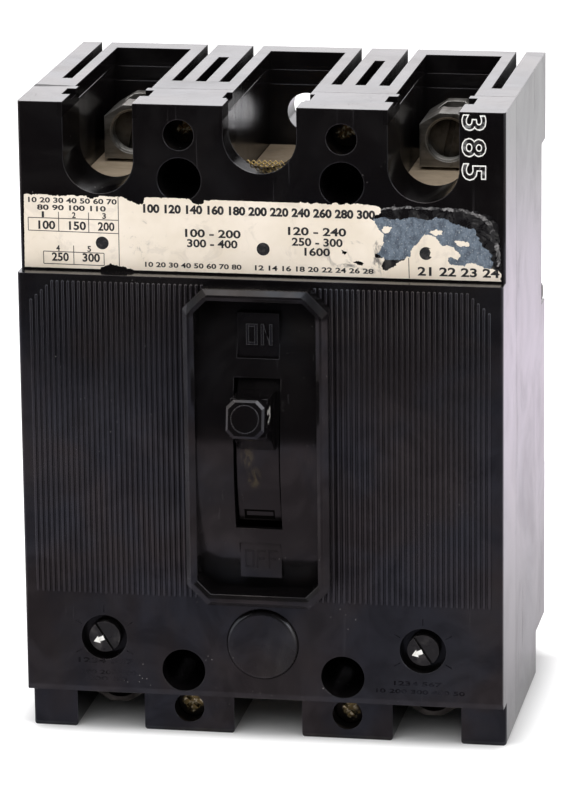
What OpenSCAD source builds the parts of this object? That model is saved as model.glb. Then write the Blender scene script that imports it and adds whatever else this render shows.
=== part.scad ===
// Molded case circuit breaker: a three pole case in which the two outer poles are wired.
// Sizes are in millimetres, +Z is up and the front faces -Y. Depths are counted from the
// ribbed panel, and the whole part is shifted at the end so that its box is centred on x and y.

/* [Case] */
// Width over the case
case_w = 104.6; // [103.6:0.1:108]
// Height of the case
case_h = 139.85; // [139.4:0.05:141]
// Depth from the ribbed panel to the mounting face
case_d = 70; // [69:0.5:80]
// Depth of the joint between cover and base
seam_y = 20.6; // [20:0.1:22]
// Radius on the upright front edges
edge_r = 0.8; // [0.3:0.1:1.2]
// Depth of the upper front, which carries the label
upper_y = 3.8; // [3:0.1:4.5]
// Height at which the upper front begins
upper_z = 103.3; // [102.6:0.1:103.6]
// Depth of the feet below the ribbed panel
foot_y = 5.5; // [4.5:0.1:6.5]
// Height of the feet
foot_z = 9.66; // [9:0.05:10.2]
// Radius on the lower edges of the feet
foot_r = 0.7; // [0.4:0.1:1]
// Height of the bevel along the bottom edge of the ribbed panel
bevel_h = 1.5; // [0.5:0.1:2.5]
// Depth of that bevel
bevel_d = 1; // [0.5:0.1:2]
// Distance between the centre lines of the poles
pole_pitch = 34.925; // [34:0.025:35.5]

/* [Back of the base] */
// Depth of the base under the lower step
toe_y = 55; // [52:0.5:58]
// Height of the lower step
toe_z = 10.2; // [9:0.1:11]
// Height at which the middle band begins
band_z = 46; // [40:1:50]
// How far the middle band stands back
band_step = 0.8; // [0.4:0.1:1.5]
// Height at which the deep recess begins
recess_z = 84; // [80:1:88]
// Distance from the top of the case down to the end of the deep recess
recess_drop = 19.35; // [19.1:0.05:22]
// Depth of the deep recess
recess_step = 6.5; // [4:0.25:7]

/* [Line end] */
// Half width of the outer well mouths
line_mouth_w = 7.6; // [7.2:0.1:8]
// Distance from the top down to the lowest point of the outer well mouths
line_mouth_drop = 19.7; // [18.9:0.05:19.95]
// Half width of the centre well mouth
centre_mouth_w = 7.9; // [7.2:0.1:8.2]
// Distance from the top down to the lowest point of the centre well mouth
centre_mouth_drop = 14.45; // [13.4:0.05:16.8]
// Depth of the wall in front of the centre well
centre_wall_y = 10.5; // [9:0.1:12]
// Half width of the wells in the base
line_well_w = 8.4; // [8.3:0.05:8.8]
// Depth of the back wall of the wells
line_well_y = 61.5; // [60:0.25:62]
// Distance from the top down to the lower step in the back wall
well_step_drop = 6.85; // [5.4:0.05:7.8]
// Distance from the top down to the upper step in the back wall
well_step2_drop = 3.85; // [1.9:0.05:4.8]
// Depth of each step in the back wall
well_step_d = 1.3; // [0.6:0.1:1.6]
// Distance from the top down to the upper face of the fibre plates
plate_drop = 20.55; // [20.3:0.05:20.85]
// Thickness of the fibre plates
plate_t = 1.2; // [0.8:0.1:1.2]
// Half width of the barrier notches beside the well mouths
notch_w = 9.5; // [9.2:0.1:10.6]
// Depth at which the barrier notches begin
notch_y = 12; // [10.8:0.1:12.4]
// Depth at which the barrier notches end
notch_end_y = 18; // [16:0.1:19]
// Depth of the barrier notches below the top
notch_drop = 1.25; // [0.8:0.05:4.5]
// Radius of the hole in the back wall of the centre well
back_hole_r = 4.3; // [3.5:0.1:5]
// Distance from the top down to the hole in the back wall of the centre well
back_hole_drop = 13.05; // [12:0.05:13.8]

/* [Slots in the top] */
// Distance between the slots over each mounting hole
slot_pitch = 5.2; // [5:0.1:5.4]
// Width of those slots
slot_w = 2.3; // [1.8:0.1:2.6]
// Depth at which the slots begin
slot_y = 29; // [28.5:0.25:32]
// Depth at which the closed middle slots end
slot_end_y = 56; // [50:0.5:60]
// Depth of the open slots below the top
slot_drop = 13.95; // [10:0.05:15.8]
// Depth of the closed middle slots below the top
mid_slot_drop = 8.95; // [6:0.05:10.8]
// Distance of the outer wall slots from the centre line
wall_slot_x = 46.9; // [46:0.1:48]
// Width of the outer wall slots
wall_slot_w = 2.2; // [1.6:0.1:2.6]

/* [Load end] */
// Half width of the load wells
load_well_w = 7.5; // [7.2:0.1:8]
// Height of the ceiling of the load wells
load_well_z = 16.4; // [16.4:0.1:16.8]
// Depth of the back wall of the load wells
load_well_y = 45; // [42:0.5:50]

/* [Mounting and cover screws] */
// Spacing of the mounting holes from left to right
mount_pitch_x = 34.925; // [34:0.025:35.5]
// Distance from the top down to the upper mounting holes
mount_drop = 16.2; // [16:0.05:16.6]
// Height of the lower mounting holes
mount_z = 15.7; // [15.5:0.05:15.9]
// Radius of the mounting holes
mount_r = 2.6; // [2.2:0.1:2.8]
// Radius of the counterbores of the mounting holes
mount_head_r = 4.75; // [4.3:0.05:5]
// Depth of those counterbores
mount_head_y = 26; // [24:0.5:27]
// Distance from the top down to the upper cover screws
upper_screw_drop = 6.55; // [5.9:0.05:6.8]
// Height of the lower cover screws
lower_screw_z = 5.4; // [5:0.1:5.7]
// Radius of the cover screw heads
screw_head_r = 3.2; // [2.8:0.05:3.3]
// Thickness of the cover screw heads
screw_head_t = 2.4; // [1.8:0.1:3]
// Radius of the cover screw shanks
screw_r = 1.6; // [1.4:0.1:1.9]
// Depth at which the cover screws end
screw_end_y = 27; // [25:0.5:27.5]
// How deep the upper heads sit below the upper front
upper_sink = 8; // [6:0.25:9]
// How deep the lower heads sit below the feet
lower_sink = 4.5; // [3.5:0.25:6]
// Width of the arms of the cross recess
cross_w = 1; // [0.7:0.1:1.3]
// Length of the arms of the cross recess
cross_l = 3.6; // [3:0.1:4.2]
// Depth of the cross recess
cross_d = 1.2; // [0.8:0.1:1.5]
// Turn of the cross recess
cross_angle = 42; // [0:1:90]

/* [Escutcheon] */
// How far the rim stands out from the middle of the curved floor
rim_rise = 1.3; // [0.9:0.1:2]
// Half width over the rim
rim_w = 15.6; // [15:0.1:16.5]
// Distance from the handle pivot down to the lower end of the rim
rim_down = 33.6; // [33:0.1:34]
// Distance from the handle pivot up to the upper end of the rim
rim_up = 36.3; // [35.4:0.1:36.6]
// Bevel on the outer corners of the rim
rim_bevel = 4.4; // [3:0.1:5]
// Bevel along the outer edge of the rim
rim_edge = 1.1; // [0.4:0.1:1.3]
// Width of the bevel along the inner edge of the rim
dish_edge = 0.8; // [0.3:0.1:0.9]
// Depth of that bevel
dish_edge_d = 0.45; // [0.2:0.05:0.8]
// Half width of the recess inside the rim
dish_w = 13.1; // [12.5:0.1:13.6]
// Distance from the handle pivot down to the lower end of the recess
dish_down = 30.9; // [30.5:0.1:31.4]
// Distance from the handle pivot up to the upper end of the recess
dish_up = 33.9; // [33.4:0.1:34.3]
// Bevel on the inner corners of the recess
dish_bevel = 2.8; // [2:0.1:3.5]
// How far the middle of the curved floor stands out from the shutter
floor_rise = 1.2; // [0.9:0.1:1.6]
// Radius of the curved floor
floor_r = 75; // [70:1:80]
// Half width of the handle slot
gate_w = 5.05; // [5:0.05:5.5]
// Distance from the handle pivot down to the lower end of the handle slot
gate_down = 16.7; // [16.2:0.1:17.6]
// Distance from the handle pivot up to the upper end of the handle slot
gate_up = 16.7; // [16.2:0.1:17.6]
// Half width of the two flat tablets
tablet_w = 4.5; // [4:0.1:5]
// Distance from the handle pivot up to the lower end of the upper tablet
on_start = 20.7; // [20:0.1:21.6]
// Distance from the handle pivot up to the upper end of the upper tablet
on_end = 30.4; // [29:0.1:31.2]
// How far the face of the upper tablet lies behind the face of the shutter
on_sink = 2.7; // [2.5:0.1:3]
// Distance from the handle pivot down to the lower end of the lower tablet
off_end = 28.1; // [27.4:0.1:28.8]
// Distance from the handle pivot down to the upper end of the lower tablet
off_start = 20.3; // [19.8:0.1:21.2]
// How far the face of the lower tablet lies behind the face of the shutter
off_sink = 2.4; // [2.2:0.1:2.7]

/* [Handle] */
// Depth of the handle pivot
pivot_y = 42; // [41.8:0.05:42.3]
// Height of the handle pivot
pivot_z = 65.8; // [65.5:0.1:66.1]
// Angle of the handle above level when switched on
on_angle = 11.05; // [10:0.05:11.5]
// Distance from the shutter to the face of the handle
handle_out = 15.4; // [13.4:0.1:17]
// Width of the octagonal knob over its flats
knob_w = 8.2; // [7.5:0.1:8.8]
// Length of the octagonal knob
knob_l = 9; // [7:0.5:10]
// Bevel on the four corners of the knob
knob_corner = 1.5; // [1.2:0.1:2.2]
// Bevel round the face of the knob
knob_bevel = 0.5; // [0.2:0.1:0.8]
// Half width of the handle stem
stem_w = 3.95; // [3.6:0.05:4.2]
// Half height of the stem where it passes the shutter
stem_h = 5.3; // [4.8:0.1:5.6]
// How far the wedge under the stem reaches down
wedge_h = 7.4; // [6.5:0.1:7.8]
// Outer radius of the shutter about the pivot
shutter_r = 45; // [44.5:0.1:45.2]
// Thickness of the shutter
shutter_t = 2; // [1.5:0.1:3]
// Half width of the shutter
shutter_w = 4.6; // [4.4:0.05:4.7]
// Angle from the handle to each end of the shutter
shutter_angle = 31; // [30:0.5:32]
// Radius of the handle hub
hub_r = 5; // [4.5:0.1:5.5]
// Radius of the pivot pin
pin_r = 2.5; // [2:0.1:3]
// Half length of the pivot pin
pin_l = 8; // [7:0.25:10]
// Radial play of turning parts
run_fit = 0.05; // [0.02:0.01:0.09]
// Gap between moving and fixed faces inside the case
inner_gap = 0.8; // [0.5:0.1:0.9]

/* [Trip dials] */
// Height of the dials and of the blank plug
dial_z = 22.45; // [22.3:0.05:22.7]
// Radius of the dial pockets
dial_pocket_r = 5.05; // [4.8:0.05:5.2]
// Depth of the dial pockets
dial_pocket_d = 3; // [2.5:0.1:3.4]
// Radius of the dial knobs
dial_r = 3.4; // [3:0.1:3.8]
// How deep the dial face sits below the panel
dial_sink = 0.4; // [0.2:0.1:1]
// Radius of the dial shafts
dial_shaft_r = 2; // [1.6:0.1:2.3]
// Depth at which the dial shafts end
dial_shaft_y = 11; // [8:0.5:13]
// Width of the screwdriver slot in a dial
dial_slot_w = 0.6; // [0.4:0.1:1.2]
// Angle of that slot to the level when the dial is at its lowest setting
dial_angle = 57; // [50:1:64]
// Depth of the screwdriver slot in a dial
dial_slot_d = 1; // [0.6:0.1:1.4]
// Gap under a dial knob
dial_gap = 0.2; // [0.1:0.05:0.4]
// Radius of the blank plug
plug_r = 7.75; // [7.3:0.05:7.8]
// Thickness of the blank plug
plug_t = 3.2; // [2.4:0.1:3.6]
// How far the blank plug stands out from the panel
plug_out = 1.1; // [0.6:0.1:1.4]
// Radius on the front edge of the blank plug
plug_edge_r = 1; // [0.4:0.1:1.3]

/* [Lugs and straps] */
// Half width of a lug
lug_w = 6.2; // [5.6:0.1:6.4]
// Height of a lug
lug_h = 12; // [11.6:0.1:12.2]
// Length of a lug from front to back
lug_l = 16; // [14:0.5:17]
// Width of the bevel on the outer corners of a lug
lug_bevel_w = 4.2; // [3:0.1:4.4]
// Height of that bevel
lug_bevel_h = 2.6; // [1.5:0.1:3]
// Depth of the front of the line lugs
line_lug_y = 39; // [37:0.5:40]
// Gap under the line lugs, above the fibre plates
lug_lift = 0.8; // [0.4:0.1:1]
// Depth of the front of the load lugs
load_lug_y = 14.5; // [12:0.5:16]
// Height of the underside of the load lugs
load_lug_z = 3.1; // [2.2:0.1:3.1]
// Radius of the wire hole in a lug
wire_r = 3.4; // [3:0.1:3.6]
// Distance of the wire hole behind the front of a lug
wire_y = 9.8; // [9.6:0.1:10.2]
// Radius of the clamping screw hole in a lug
clamp_r = 4.9; // [4.5:0.05:5]
// Distance of the clamping screw from the inner face of the lug
clamp_h = 6.1; // [5.9:0.05:6.2]
// How deep the clamping screw sits in its hole
clamp_sink = 3.3; // [1.5:0.1:3.4]
// Length of the clamping screw
clamp_l = 2.9; // [2.4:0.1:3]
// Width of the slot in the clamping screw
clamp_slot_w = 1.4; // [1:0.1:1.8]
// Depth of the slot in the clamping screw
clamp_slot_d = 1.4; // [1:0.1:1.8]
// Angle of the slot in the clamping screw to the level
clamp_angle = 102; // [0:1:180]
// Radius of the hole from the clamping screw to the wire hole
clamp_tip_r = 2; // [1.5:0.1:2.2]
// Half width of a strap
strap_w = 5; // [4:0.1:5.4]
// Thickness of a strap
strap_t = 2; // [1.5:0.1:2.4]
// How far a strap reaches into the case
strap_root = 8; // [5:0.5:10]
// Gap round fixed parts that are let into the case
seat_gap = 0.1; // [0.05:0.05:0.15]

/* [Label, mesh and seal] */
// Half width of the label
label_w = 51.4; // [50:0.1:51.4]
// Gap between the ribbed panel and the lower edge of the label
label_gap = 0.4; // [0.2:0.05:1]
// Distance from the top down to the upper edge of the label
label_drop = 20.15; // [20:0.05:21]
// Thickness of the label
label_t = 0.15; // [0.1:0.05:0.3]
// Thickness of the mesh strip
mesh_t = 0.8; // [0.5:0.1:1.2]
// Height of the mesh strip above the floor of the centre well
mesh_h = 8; // [6:0.25:10]
// Distance of the inner end of the seal from the centre line
seal_x = 46; // [42:0.5:48]
// Width of the sealing compound
seal_w = 4.6; // [3.5:0.1:5]
// Gap between the seal and the side of the case
seal_inset = 0.3; // [0.2:0.1:1]

/* [Hidden] */
$fn = 64;
cut = 1;
half_w = case_w / 2;
mount_x = mount_pitch_x / 2;
mount_top_z = case_h - mount_drop;
recess_top_z = case_h - recess_drop;
line_mouth_z = case_h - line_mouth_drop;
centre_mouth_z = case_h - centre_mouth_drop;
well_step_z = case_h - well_step_drop;
well_step2_z = case_h - well_step2_drop;
plate_z = case_h - plate_drop;
notch_z = case_h - notch_drop;
back_hole_z = case_h - back_hole_drop;
slot_z = case_h - slot_drop;
mid_slot_z = case_h - mid_slot_drop;
upper_screw_z = case_h - upper_screw_drop;
label_low = upper_z + label_gap;
label_high = case_h - label_drop;
shutter_out = shutter_r - pivot_y;
floor_out = shutter_out + floor_rise;
rim_out = floor_out + rim_rise;
rim_low = pivot_z - rim_down;
rim_high = pivot_z + rim_up;
dish_low = pivot_z - dish_down;
dish_high = pivot_z + dish_up;
gate_low = pivot_z - gate_down;
gate_high = pivot_z + gate_up;
on_low = pivot_z + on_start;
on_high = pivot_z + on_end;
on_out = shutter_out - on_sink;
off_high = pivot_z - off_start;
off_low = pivot_z - off_end;
off_out = shutter_out - off_sink;
handle_l = shutter_r + handle_out;
front_y = pivot_y - handle_l * cos(on_angle) - (knob_w / 2 - knob_bevel) * sin(on_angle);
centre_y = (case_d + front_y) / 2;
floor_y = floor_r - floor_out;
cavity_r = shutter_r + inner_gap;
cavity_low = pivot_z - shutter_r * sin(on_angle + shutter_angle) - 4.5;
cavity_high = pivot_z + shutter_r * sin(on_angle + shutter_angle) + 4.5;
cavity_y = pivot_y + hub_r + inner_gap;
hub_w = gate_w - 0.15;
plate_w = line_well_w - seat_gap;
load_plate_w = load_well_w - seat_gap;
line_lug_z = plate_z + lug_lift;
strap_gap_w = strap_w + seat_gap;
seal_y = case_d - recess_step;

// ---- shared shapes ----

module block(x0, x1, y0, y1, z0, z1)
    translate([x0, y0, z0]) cube([x1 - x0, y1 - y0, z1 - z0]);

module rod_x(x0, x1, y, z, r)
    translate([x0, y, z]) rotate([0, 90, 0]) cylinder(r = r, h = x1 - x0);

module rod_y(x, y0, y1, z, r)
    translate([x, y0, z]) rotate([-90, 0, 0]) cylinder(r = r, h = y1 - y0);

module rod_z(x, y, z0, z1, r)
    translate([x, y, z0]) cylinder(r = r, h = z1 - z0);

// An upright block whose two front edges are rounded.
module front_block(y0, z0, z1)
    translate([0, 0, z0]) linear_extrude(z1 - z0) {
        translate([-half_w, y0 + edge_r]) square([case_w, seam_y - y0 - edge_r]);
        translate([-half_w + edge_r, y0]) square([case_w - 2 * edge_r, seam_y - y0]);
        translate([-half_w + edge_r, y0 + edge_r]) circle(edge_r);
        translate([half_w - edge_r, y0 + edge_r]) circle(edge_r);
    }

// A well mouth with a round bottom, open at the top.
module mouth(x, w, low, y0, y1) {
    rod_y(x, y0, y1, low + w, w);
    block(x - w, x + w, y0, y1, low + w, case_h + cut);
}

// A plate standing up in x and z, with bevelled corners.
module bevelled_plate(w, low, high, bevel, y0, y1)
    translate([0, y1, 0]) rotate([90, 0, 0]) linear_extrude(y1 - y0)
        polygon([[-w + bevel, low], [w - bevel, low], [w, low + bevel], [w, high - bevel],
            [w - bevel, high], [-w + bevel, high], [-w, high - bevel], [-w, low + bevel]]);

// The raised rim, with its outer edge bevelled all round.
module rim_block()
    hull() {
        bevelled_plate(rim_w - rim_edge, rim_low + rim_edge, rim_high - rim_edge, rim_bevel,
            -rim_out, -rim_out + rim_edge);
        bevelled_plate(rim_w, rim_low, rim_high, rim_bevel, -rim_out + rim_edge, cut);
    }

// What the bevel along the inner edge of the rim takes away.
module dish_lip()
    hull() {
        bevelled_plate(dish_w + dish_edge, dish_low - dish_edge, dish_high + dish_edge,
            dish_bevel, -rim_out - cut, -rim_out);
        bevelled_plate(dish_w, dish_low, dish_high, dish_bevel,
            -rim_out - cut, -rim_out + dish_edge_d);
    }

// The frame in which the handle is drawn: pivot at the origin, pointing along -Y.
module lever_frame()
    translate([0, pivot_y, pivot_z]) rotate([-on_angle, 0, 0]) children();

// The space in which the handle and its shutter swing.
module handle_cavity(y0, y1)
    intersection() {
        rod_x(-gate_w, gate_w, pivot_y, pivot_z, cavity_r);
        block(-gate_w - cut, gate_w + cut, y0, y1, cavity_low, cavity_high);
    }

module cover_screw_holes() {
    for (x = [-mount_x, mount_x]) {
        rod_y(x, -cut, upper_y + upper_sink + screw_head_t, upper_screw_z,
            screw_head_r + seat_gap);
        rod_y(x, upper_y, screw_end_y, upper_screw_z, screw_r + seat_gap);
        rod_y(x, -cut, foot_y + lower_sink + screw_head_t, lower_screw_z,
            screw_head_r + seat_gap);
        rod_y(x, foot_y, screw_end_y, lower_screw_z, screw_r + seat_gap);
    }
}

module mounting_holes()
    for (x = [-mount_x, mount_x], z = [mount_z, mount_top_z]) {
        rod_y(x, -cut, mount_head_y, z, mount_head_r);
        rod_y(x, 0, case_d + cut, z, mount_r);
    }

module load_wells(y0, y1)
    for (x = [-pole_pitch, 0, pole_pitch])
        block(x - load_well_w, x + load_well_w, y0, y1, -cut, load_well_z);

// What the rounding of one lower edge takes away from a foot that lies to one side of it.
module foot_edge(x, side, y0, y1)
    difference() {
        block(min(x - side * cut, x + side * foot_r), max(x - side * cut, x + side * foot_r),
            y0, y1, -cut, foot_r);
        rod_y(x + side * foot_r, y0 - cut, y1 + cut, foot_r, foot_r);
    }

// The lower edges of all four feet. The outer two run further back than the others.
module foot_edges(y0, y1, outer_y1)
    for (side = [-1, 1]) {
        foot_edge(side * half_w, -side, y0, outer_y1);
        for (x = [-pole_pitch, 0, pole_pitch])
            foot_edge(x + side * load_well_w, side, y0, y1);
    }

// ---- case ----

module base()
    color([0.06, 0.06, 0.065])
    difference() {
        block(-half_w, half_w, seam_y, case_d, 0, case_h);
        block(-half_w - cut, half_w + cut, toe_y, case_d + cut, -cut, toe_z);
        block(-half_w - cut, half_w + cut, case_d - band_step, case_d + cut, band_z, recess_z);
        block(-half_w - cut, half_w + cut, case_d - recess_step, case_d + cut,
            recess_z, recess_top_z);
        for (x = [-pole_pitch, 0, pole_pitch]) {
            block(x - line_well_w, x + line_well_w, seam_y - cut, line_well_y,
                plate_z - plate_t, case_h + cut);
            block(x - line_well_w, x + line_well_w, seam_y, line_well_y + well_step_d,
                well_step_z, case_h + cut);
            block(x - line_well_w, x + line_well_w, seam_y, line_well_y + 2 * well_step_d,
                well_step2_z, case_h + cut);
        }
        rod_y(0, line_well_y - cut, case_d + cut, back_hole_z, back_hole_r);
        for (side = [-1, 1]) {
            for (step = [-1, 1])
                block(side * mount_x + step * slot_pitch - slot_w / 2,
                    side * mount_x + step * slot_pitch + slot_w / 2,
                    slot_y, case_d + cut, slot_z, case_h + cut);
            block(side * mount_x - slot_w / 2, side * mount_x + slot_w / 2,
                slot_y, slot_end_y, mid_slot_z, case_h + cut);
            block(side * wall_slot_x - wall_slot_w / 2, side * wall_slot_x + wall_slot_w / 2,
                slot_y, case_d + cut, slot_z, case_h + cut);
            block(side * pole_pitch - strap_gap_w, side * pole_pitch + strap_gap_w,
                line_lug_y + lug_l - seat_gap, line_lug_y + lug_l + strap_t + seat_gap,
                plate_z - plate_t - strap_root, plate_z);
            block(side * pole_pitch - strap_gap_w, side * pole_pitch + strap_gap_w,
                load_lug_y + lug_l - seat_gap, load_lug_y + lug_l + strap_t + seat_gap,
                load_well_z - cut, load_well_z + strap_root);
        }
        load_wells(seam_y - cut, load_well_y);
        foot_edges(seam_y - cut, load_well_y, toe_y + cut);
        handle_cavity(seam_y - cut, cavity_y);
        rod_x(-pin_l, pin_l, pivot_y, pivot_z, pin_r + run_fit);
        cover_screw_holes();
        mounting_holes();
    }

module cover()
    color([0.07, 0.07, 0.075])
    difference() {
        union() {
            difference() {
                union() {
                    front_block(foot_y, 0, foot_z + cut);
                    front_block(0, foot_z, upper_z);
                    front_block(upper_y, upper_z - cut, case_h);
                    rim_block();
                }
                difference() {
                    union() {
                        bevelled_plate(dish_w, dish_low, dish_high, dish_bevel,
                            -rim_out - cut, foot_y);
                        dish_lip();
                    }
                    rod_x(-half_w, half_w, floor_y, pivot_z, floor_r);
                }
                block(-tablet_w, tablet_w, -rim_out - cut, -on_out, on_low, on_high);
                block(-tablet_w, tablet_w, -rim_out - cut, -off_out, off_low, off_high);
            }
            block(-tablet_w, tablet_w, -on_out, foot_y, on_low, on_high);
            block(-tablet_w, tablet_w, -off_out, foot_y, off_low, off_high);
        }
        // the bevel along the bottom edge of the ribbed panel
        translate([-half_w - cut, 0, foot_z]) rotate([90, 0, 90]) linear_extrude(case_w + 2 * cut)
            polygon([[-cut, -cut], [bevel_d, -cut], [bevel_d, 0], [0, bevel_h], [-cut, bevel_h]]);
        block(-gate_w, gate_w, -rim_out - cut, foot_y, gate_low, gate_high);
        handle_cavity(-rim_out - cut, seam_y + cut);
        for (x = [-pole_pitch, pole_pitch])
            mouth(x, line_mouth_w, line_mouth_z, -cut, seam_y + cut);
        mouth(0, centre_mouth_w, centre_mouth_z, -cut, seam_y + cut);
        block(-line_well_w, line_well_w, centre_wall_y, seam_y + cut, plate_z, case_h + cut);
        for (x = [-pole_pitch, 0, pole_pitch])
            block(x - notch_w, x + notch_w, notch_y, notch_end_y, notch_z, case_h + cut);
        load_wells(foot_y, seam_y + cut);
        foot_edges(-cut, seam_y + cut, seam_y + cut);
        block(-half_w - cut, half_w + cut, -cut, foot_y, -cut, foot_z);
        for (side = [-1, 1]) {
            rod_y(side * pole_pitch, -cut, dial_pocket_d, dial_z, dial_pocket_r);
            rod_y(side * pole_pitch, -cut, dial_shaft_y, dial_z, dial_shaft_r + run_fit);
        }
        rod_y(0, -cut, plug_t - plug_out, dial_z, plug_r + seat_gap);
        cover_screw_holes();
        mounting_holes();
    }

// ---- handle ----

module stem_shape()
    rotate([90, 0, 90]) linear_extrude(2 * stem_w, center = true)
        polygon([[-shutter_r + shutter_t + 1, -wedge_h], [-shutter_r - 1, -wedge_h],
            [-shutter_r - 5, -stem_h], [-handle_l + knob_l / 2, -knob_w / 2],
            [-handle_l + knob_l / 2, knob_w / 2], [-shutter_r, stem_h],
            [-shutter_r + shutter_t + 1, stem_h]]);

// One slice of the knob, smaller all round by the inset.
module knob_plate(inset, y0, y1)
    bevelled_plate(knob_w / 2 - inset, inset - knob_w / 2, knob_w / 2 - inset, knob_corner,
        y0, y1);

module handle()
    color([0.08, 0.08, 0.085])
    lever_frame() difference() {
        union() {
            rod_x(-hub_w, hub_w, 0, 0, hub_r);
            block(-stem_w, stem_w, -shutter_r + shutter_t, -pin_r - 1, -knob_w / 2, knob_w / 2);
            stem_shape();
            knob_plate(0, -handle_l + knob_bevel, -handle_l + knob_l);
            hull() {
                knob_plate(knob_bevel, -handle_l, -handle_l + knob_bevel);
                knob_plate(0, -handle_l + knob_bevel, -handle_l + 2 * knob_bevel);
            }
        }
        rod_x(-hub_w - cut, hub_w + cut, 0, 0, pin_r + run_fit);
    }

module handle_shutter()
    color([0.09, 0.09, 0.095])
    lever_frame() difference() {
        rotate([0, 90, 0]) rotate([0, 0, 270 - shutter_angle])
            rotate_extrude(angle = 2 * shutter_angle)
                translate([shutter_r - shutter_t, -shutter_w]) square([shutter_t, 2 * shutter_w]);
        stem_shape();
    }

module handle_pivot_pin()
    color([0.6, 0.6, 0.62])
    rod_x(-pin_l, pin_l, pivot_y, pivot_z, pin_r);

// ---- trip dials and plug ----

module trip_dial(x)
    difference() {
        union() {
            rod_y(x, dial_sink, dial_pocket_d - dial_gap, dial_z, dial_r);
            rod_y(x, dial_sink + dial_slot_d, dial_shaft_y - dial_gap, dial_z, dial_shaft_r);
        }
        translate([x, dial_sink, dial_z]) rotate([0, dial_angle, 0])
            block(-dial_r - cut, dial_r + cut, -cut, dial_slot_d,
                -dial_slot_w / 2, dial_slot_w / 2);
    }

module left_trip_dial() color([0.1, 0.1, 0.1]) trip_dial(-pole_pitch);

module right_trip_dial() color([0.1, 0.1, 0.1]) trip_dial(pole_pitch);

module blank_plug()
    color([0.07, 0.07, 0.07])
    translate([0, -plug_out, dial_z]) rotate([-90, 0, 0]) rotate_extrude() {
        square([plug_r - plug_edge_r, plug_t]);
        translate([0, plug_edge_r]) square([plug_r, plug_t - plug_edge_r]);
        translate([plug_r - plug_edge_r, plug_edge_r]) circle(plug_edge_r);
    }

// ---- lugs, screws and straps ----

// A lug drawn with its inner face at z = 0, its bevelled corners up and its front at y = 0.
module lug_shape()
    difference() {
        translate([0, lug_l, 0]) rotate([90, 0, 0]) linear_extrude(lug_l)
            polygon([[-lug_w, 0], [lug_w, 0], [lug_w, lug_h - lug_bevel_h],
                [lug_w - lug_bevel_w, lug_h], [-lug_w + lug_bevel_w, lug_h],
                [-lug_w, lug_h - lug_bevel_h]]);
        rod_z(0, wire_y, -cut, lug_h + cut, wire_r);
        rod_y(0, -cut, clamp_sink + clamp_l, clamp_h, clamp_r);
        rod_y(0, 0, wire_y, clamp_h, clamp_tip_r);
    }

module lug_screw_shape()
    difference() {
        rod_y(0, clamp_sink, clamp_sink + clamp_l, clamp_h, clamp_r - run_fit);
        translate([0, clamp_sink, clamp_h]) rotate([0, clamp_angle, 0])
            block(-clamp_r - cut, clamp_r + cut, -cut, clamp_slot_d,
                -clamp_slot_w / 2, clamp_slot_w / 2);
    }

module line_place(x) translate([x, line_lug_y, line_lug_z]) children();

// The load lugs are the line lugs turned upside down about their depth axis.
module load_place(x) translate([x, load_lug_y, load_lug_z + lug_h]) rotate([0, 180, 0]) children();

module left_line_lug() color([0.72, 0.72, 0.7]) line_place(-pole_pitch) lug_shape();

module right_line_lug() color([0.72, 0.72, 0.7]) line_place(pole_pitch) lug_shape();

module left_load_lug() color([0.72, 0.72, 0.7]) load_place(-pole_pitch) lug_shape();

module right_load_lug() color([0.72, 0.72, 0.7]) load_place(pole_pitch) lug_shape();

module left_line_lug_screw() color([0.6, 0.6, 0.6]) line_place(-pole_pitch) lug_screw_shape();

module right_line_lug_screw() color([0.6, 0.6, 0.6]) line_place(pole_pitch) lug_screw_shape();

module left_load_lug_screw() color([0.6, 0.6, 0.6]) load_place(-pole_pitch) lug_screw_shape();

module right_load_lug_screw() color([0.6, 0.6, 0.6]) load_place(pole_pitch) lug_screw_shape();

module line_strap(x)
    block(x - strap_w, x + strap_w, line_lug_y + lug_l, line_lug_y + lug_l + strap_t,
        plate_z - plate_t - strap_root, line_lug_z + lug_h - lug_bevel_h);

module load_strap(x)
    block(x - strap_w, x + strap_w, load_lug_y + lug_l, load_lug_y + lug_l + strap_t,
        load_lug_z + lug_bevel_h, load_well_z + strap_root);

module left_line_strap() color([0.72, 0.45, 0.3]) line_strap(-pole_pitch);

module right_line_strap() color([0.72, 0.45, 0.3]) line_strap(pole_pitch);

module left_load_strap() color([0.72, 0.45, 0.3]) load_strap(-pole_pitch);

module right_load_strap() color([0.72, 0.45, 0.3]) load_strap(pole_pitch);

// ---- fibre plates ----

module line_plate(x)
    block(x - plate_w, x + plate_w, seam_y, line_well_y - seat_gap, plate_z - plate_t, plate_z);

module slotted_line_plate(x)
    difference() {
        line_plate(x);
        block(x - strap_gap_w, x + strap_gap_w, line_lug_y + lug_l - seat_gap,
            line_lug_y + lug_l + strap_t + seat_gap, plate_z - plate_t - cut, plate_z + cut);
    }

module load_plate(x)
    block(x - load_plate_w, x + load_plate_w, seam_y, load_well_y - seat_gap,
        load_well_z - plate_t, load_well_z);

module slotted_load_plate(x)
    difference() {
        load_plate(x);
        block(x - strap_gap_w, x + strap_gap_w, load_lug_y + lug_l - seat_gap,
            load_lug_y + lug_l + strap_t + seat_gap, load_well_z - plate_t - cut,
            load_well_z + cut);
    }

module left_line_fibre_plate() color([0.85, 0.8, 0.68]) slotted_line_plate(-pole_pitch);

module centre_line_fibre_plate() color([0.85, 0.8, 0.68]) line_plate(0);

module right_line_fibre_plate() color([0.85, 0.8, 0.68]) slotted_line_plate(pole_pitch);

module left_load_fibre_plate() color([0.85, 0.8, 0.68]) slotted_load_plate(-pole_pitch);

module centre_load_fibre_plate() color([0.85, 0.8, 0.68]) load_plate(0);

module right_load_fibre_plate() color([0.85, 0.8, 0.68]) slotted_load_plate(pole_pitch);

// ---- mesh, screws, label and seal ----

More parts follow.
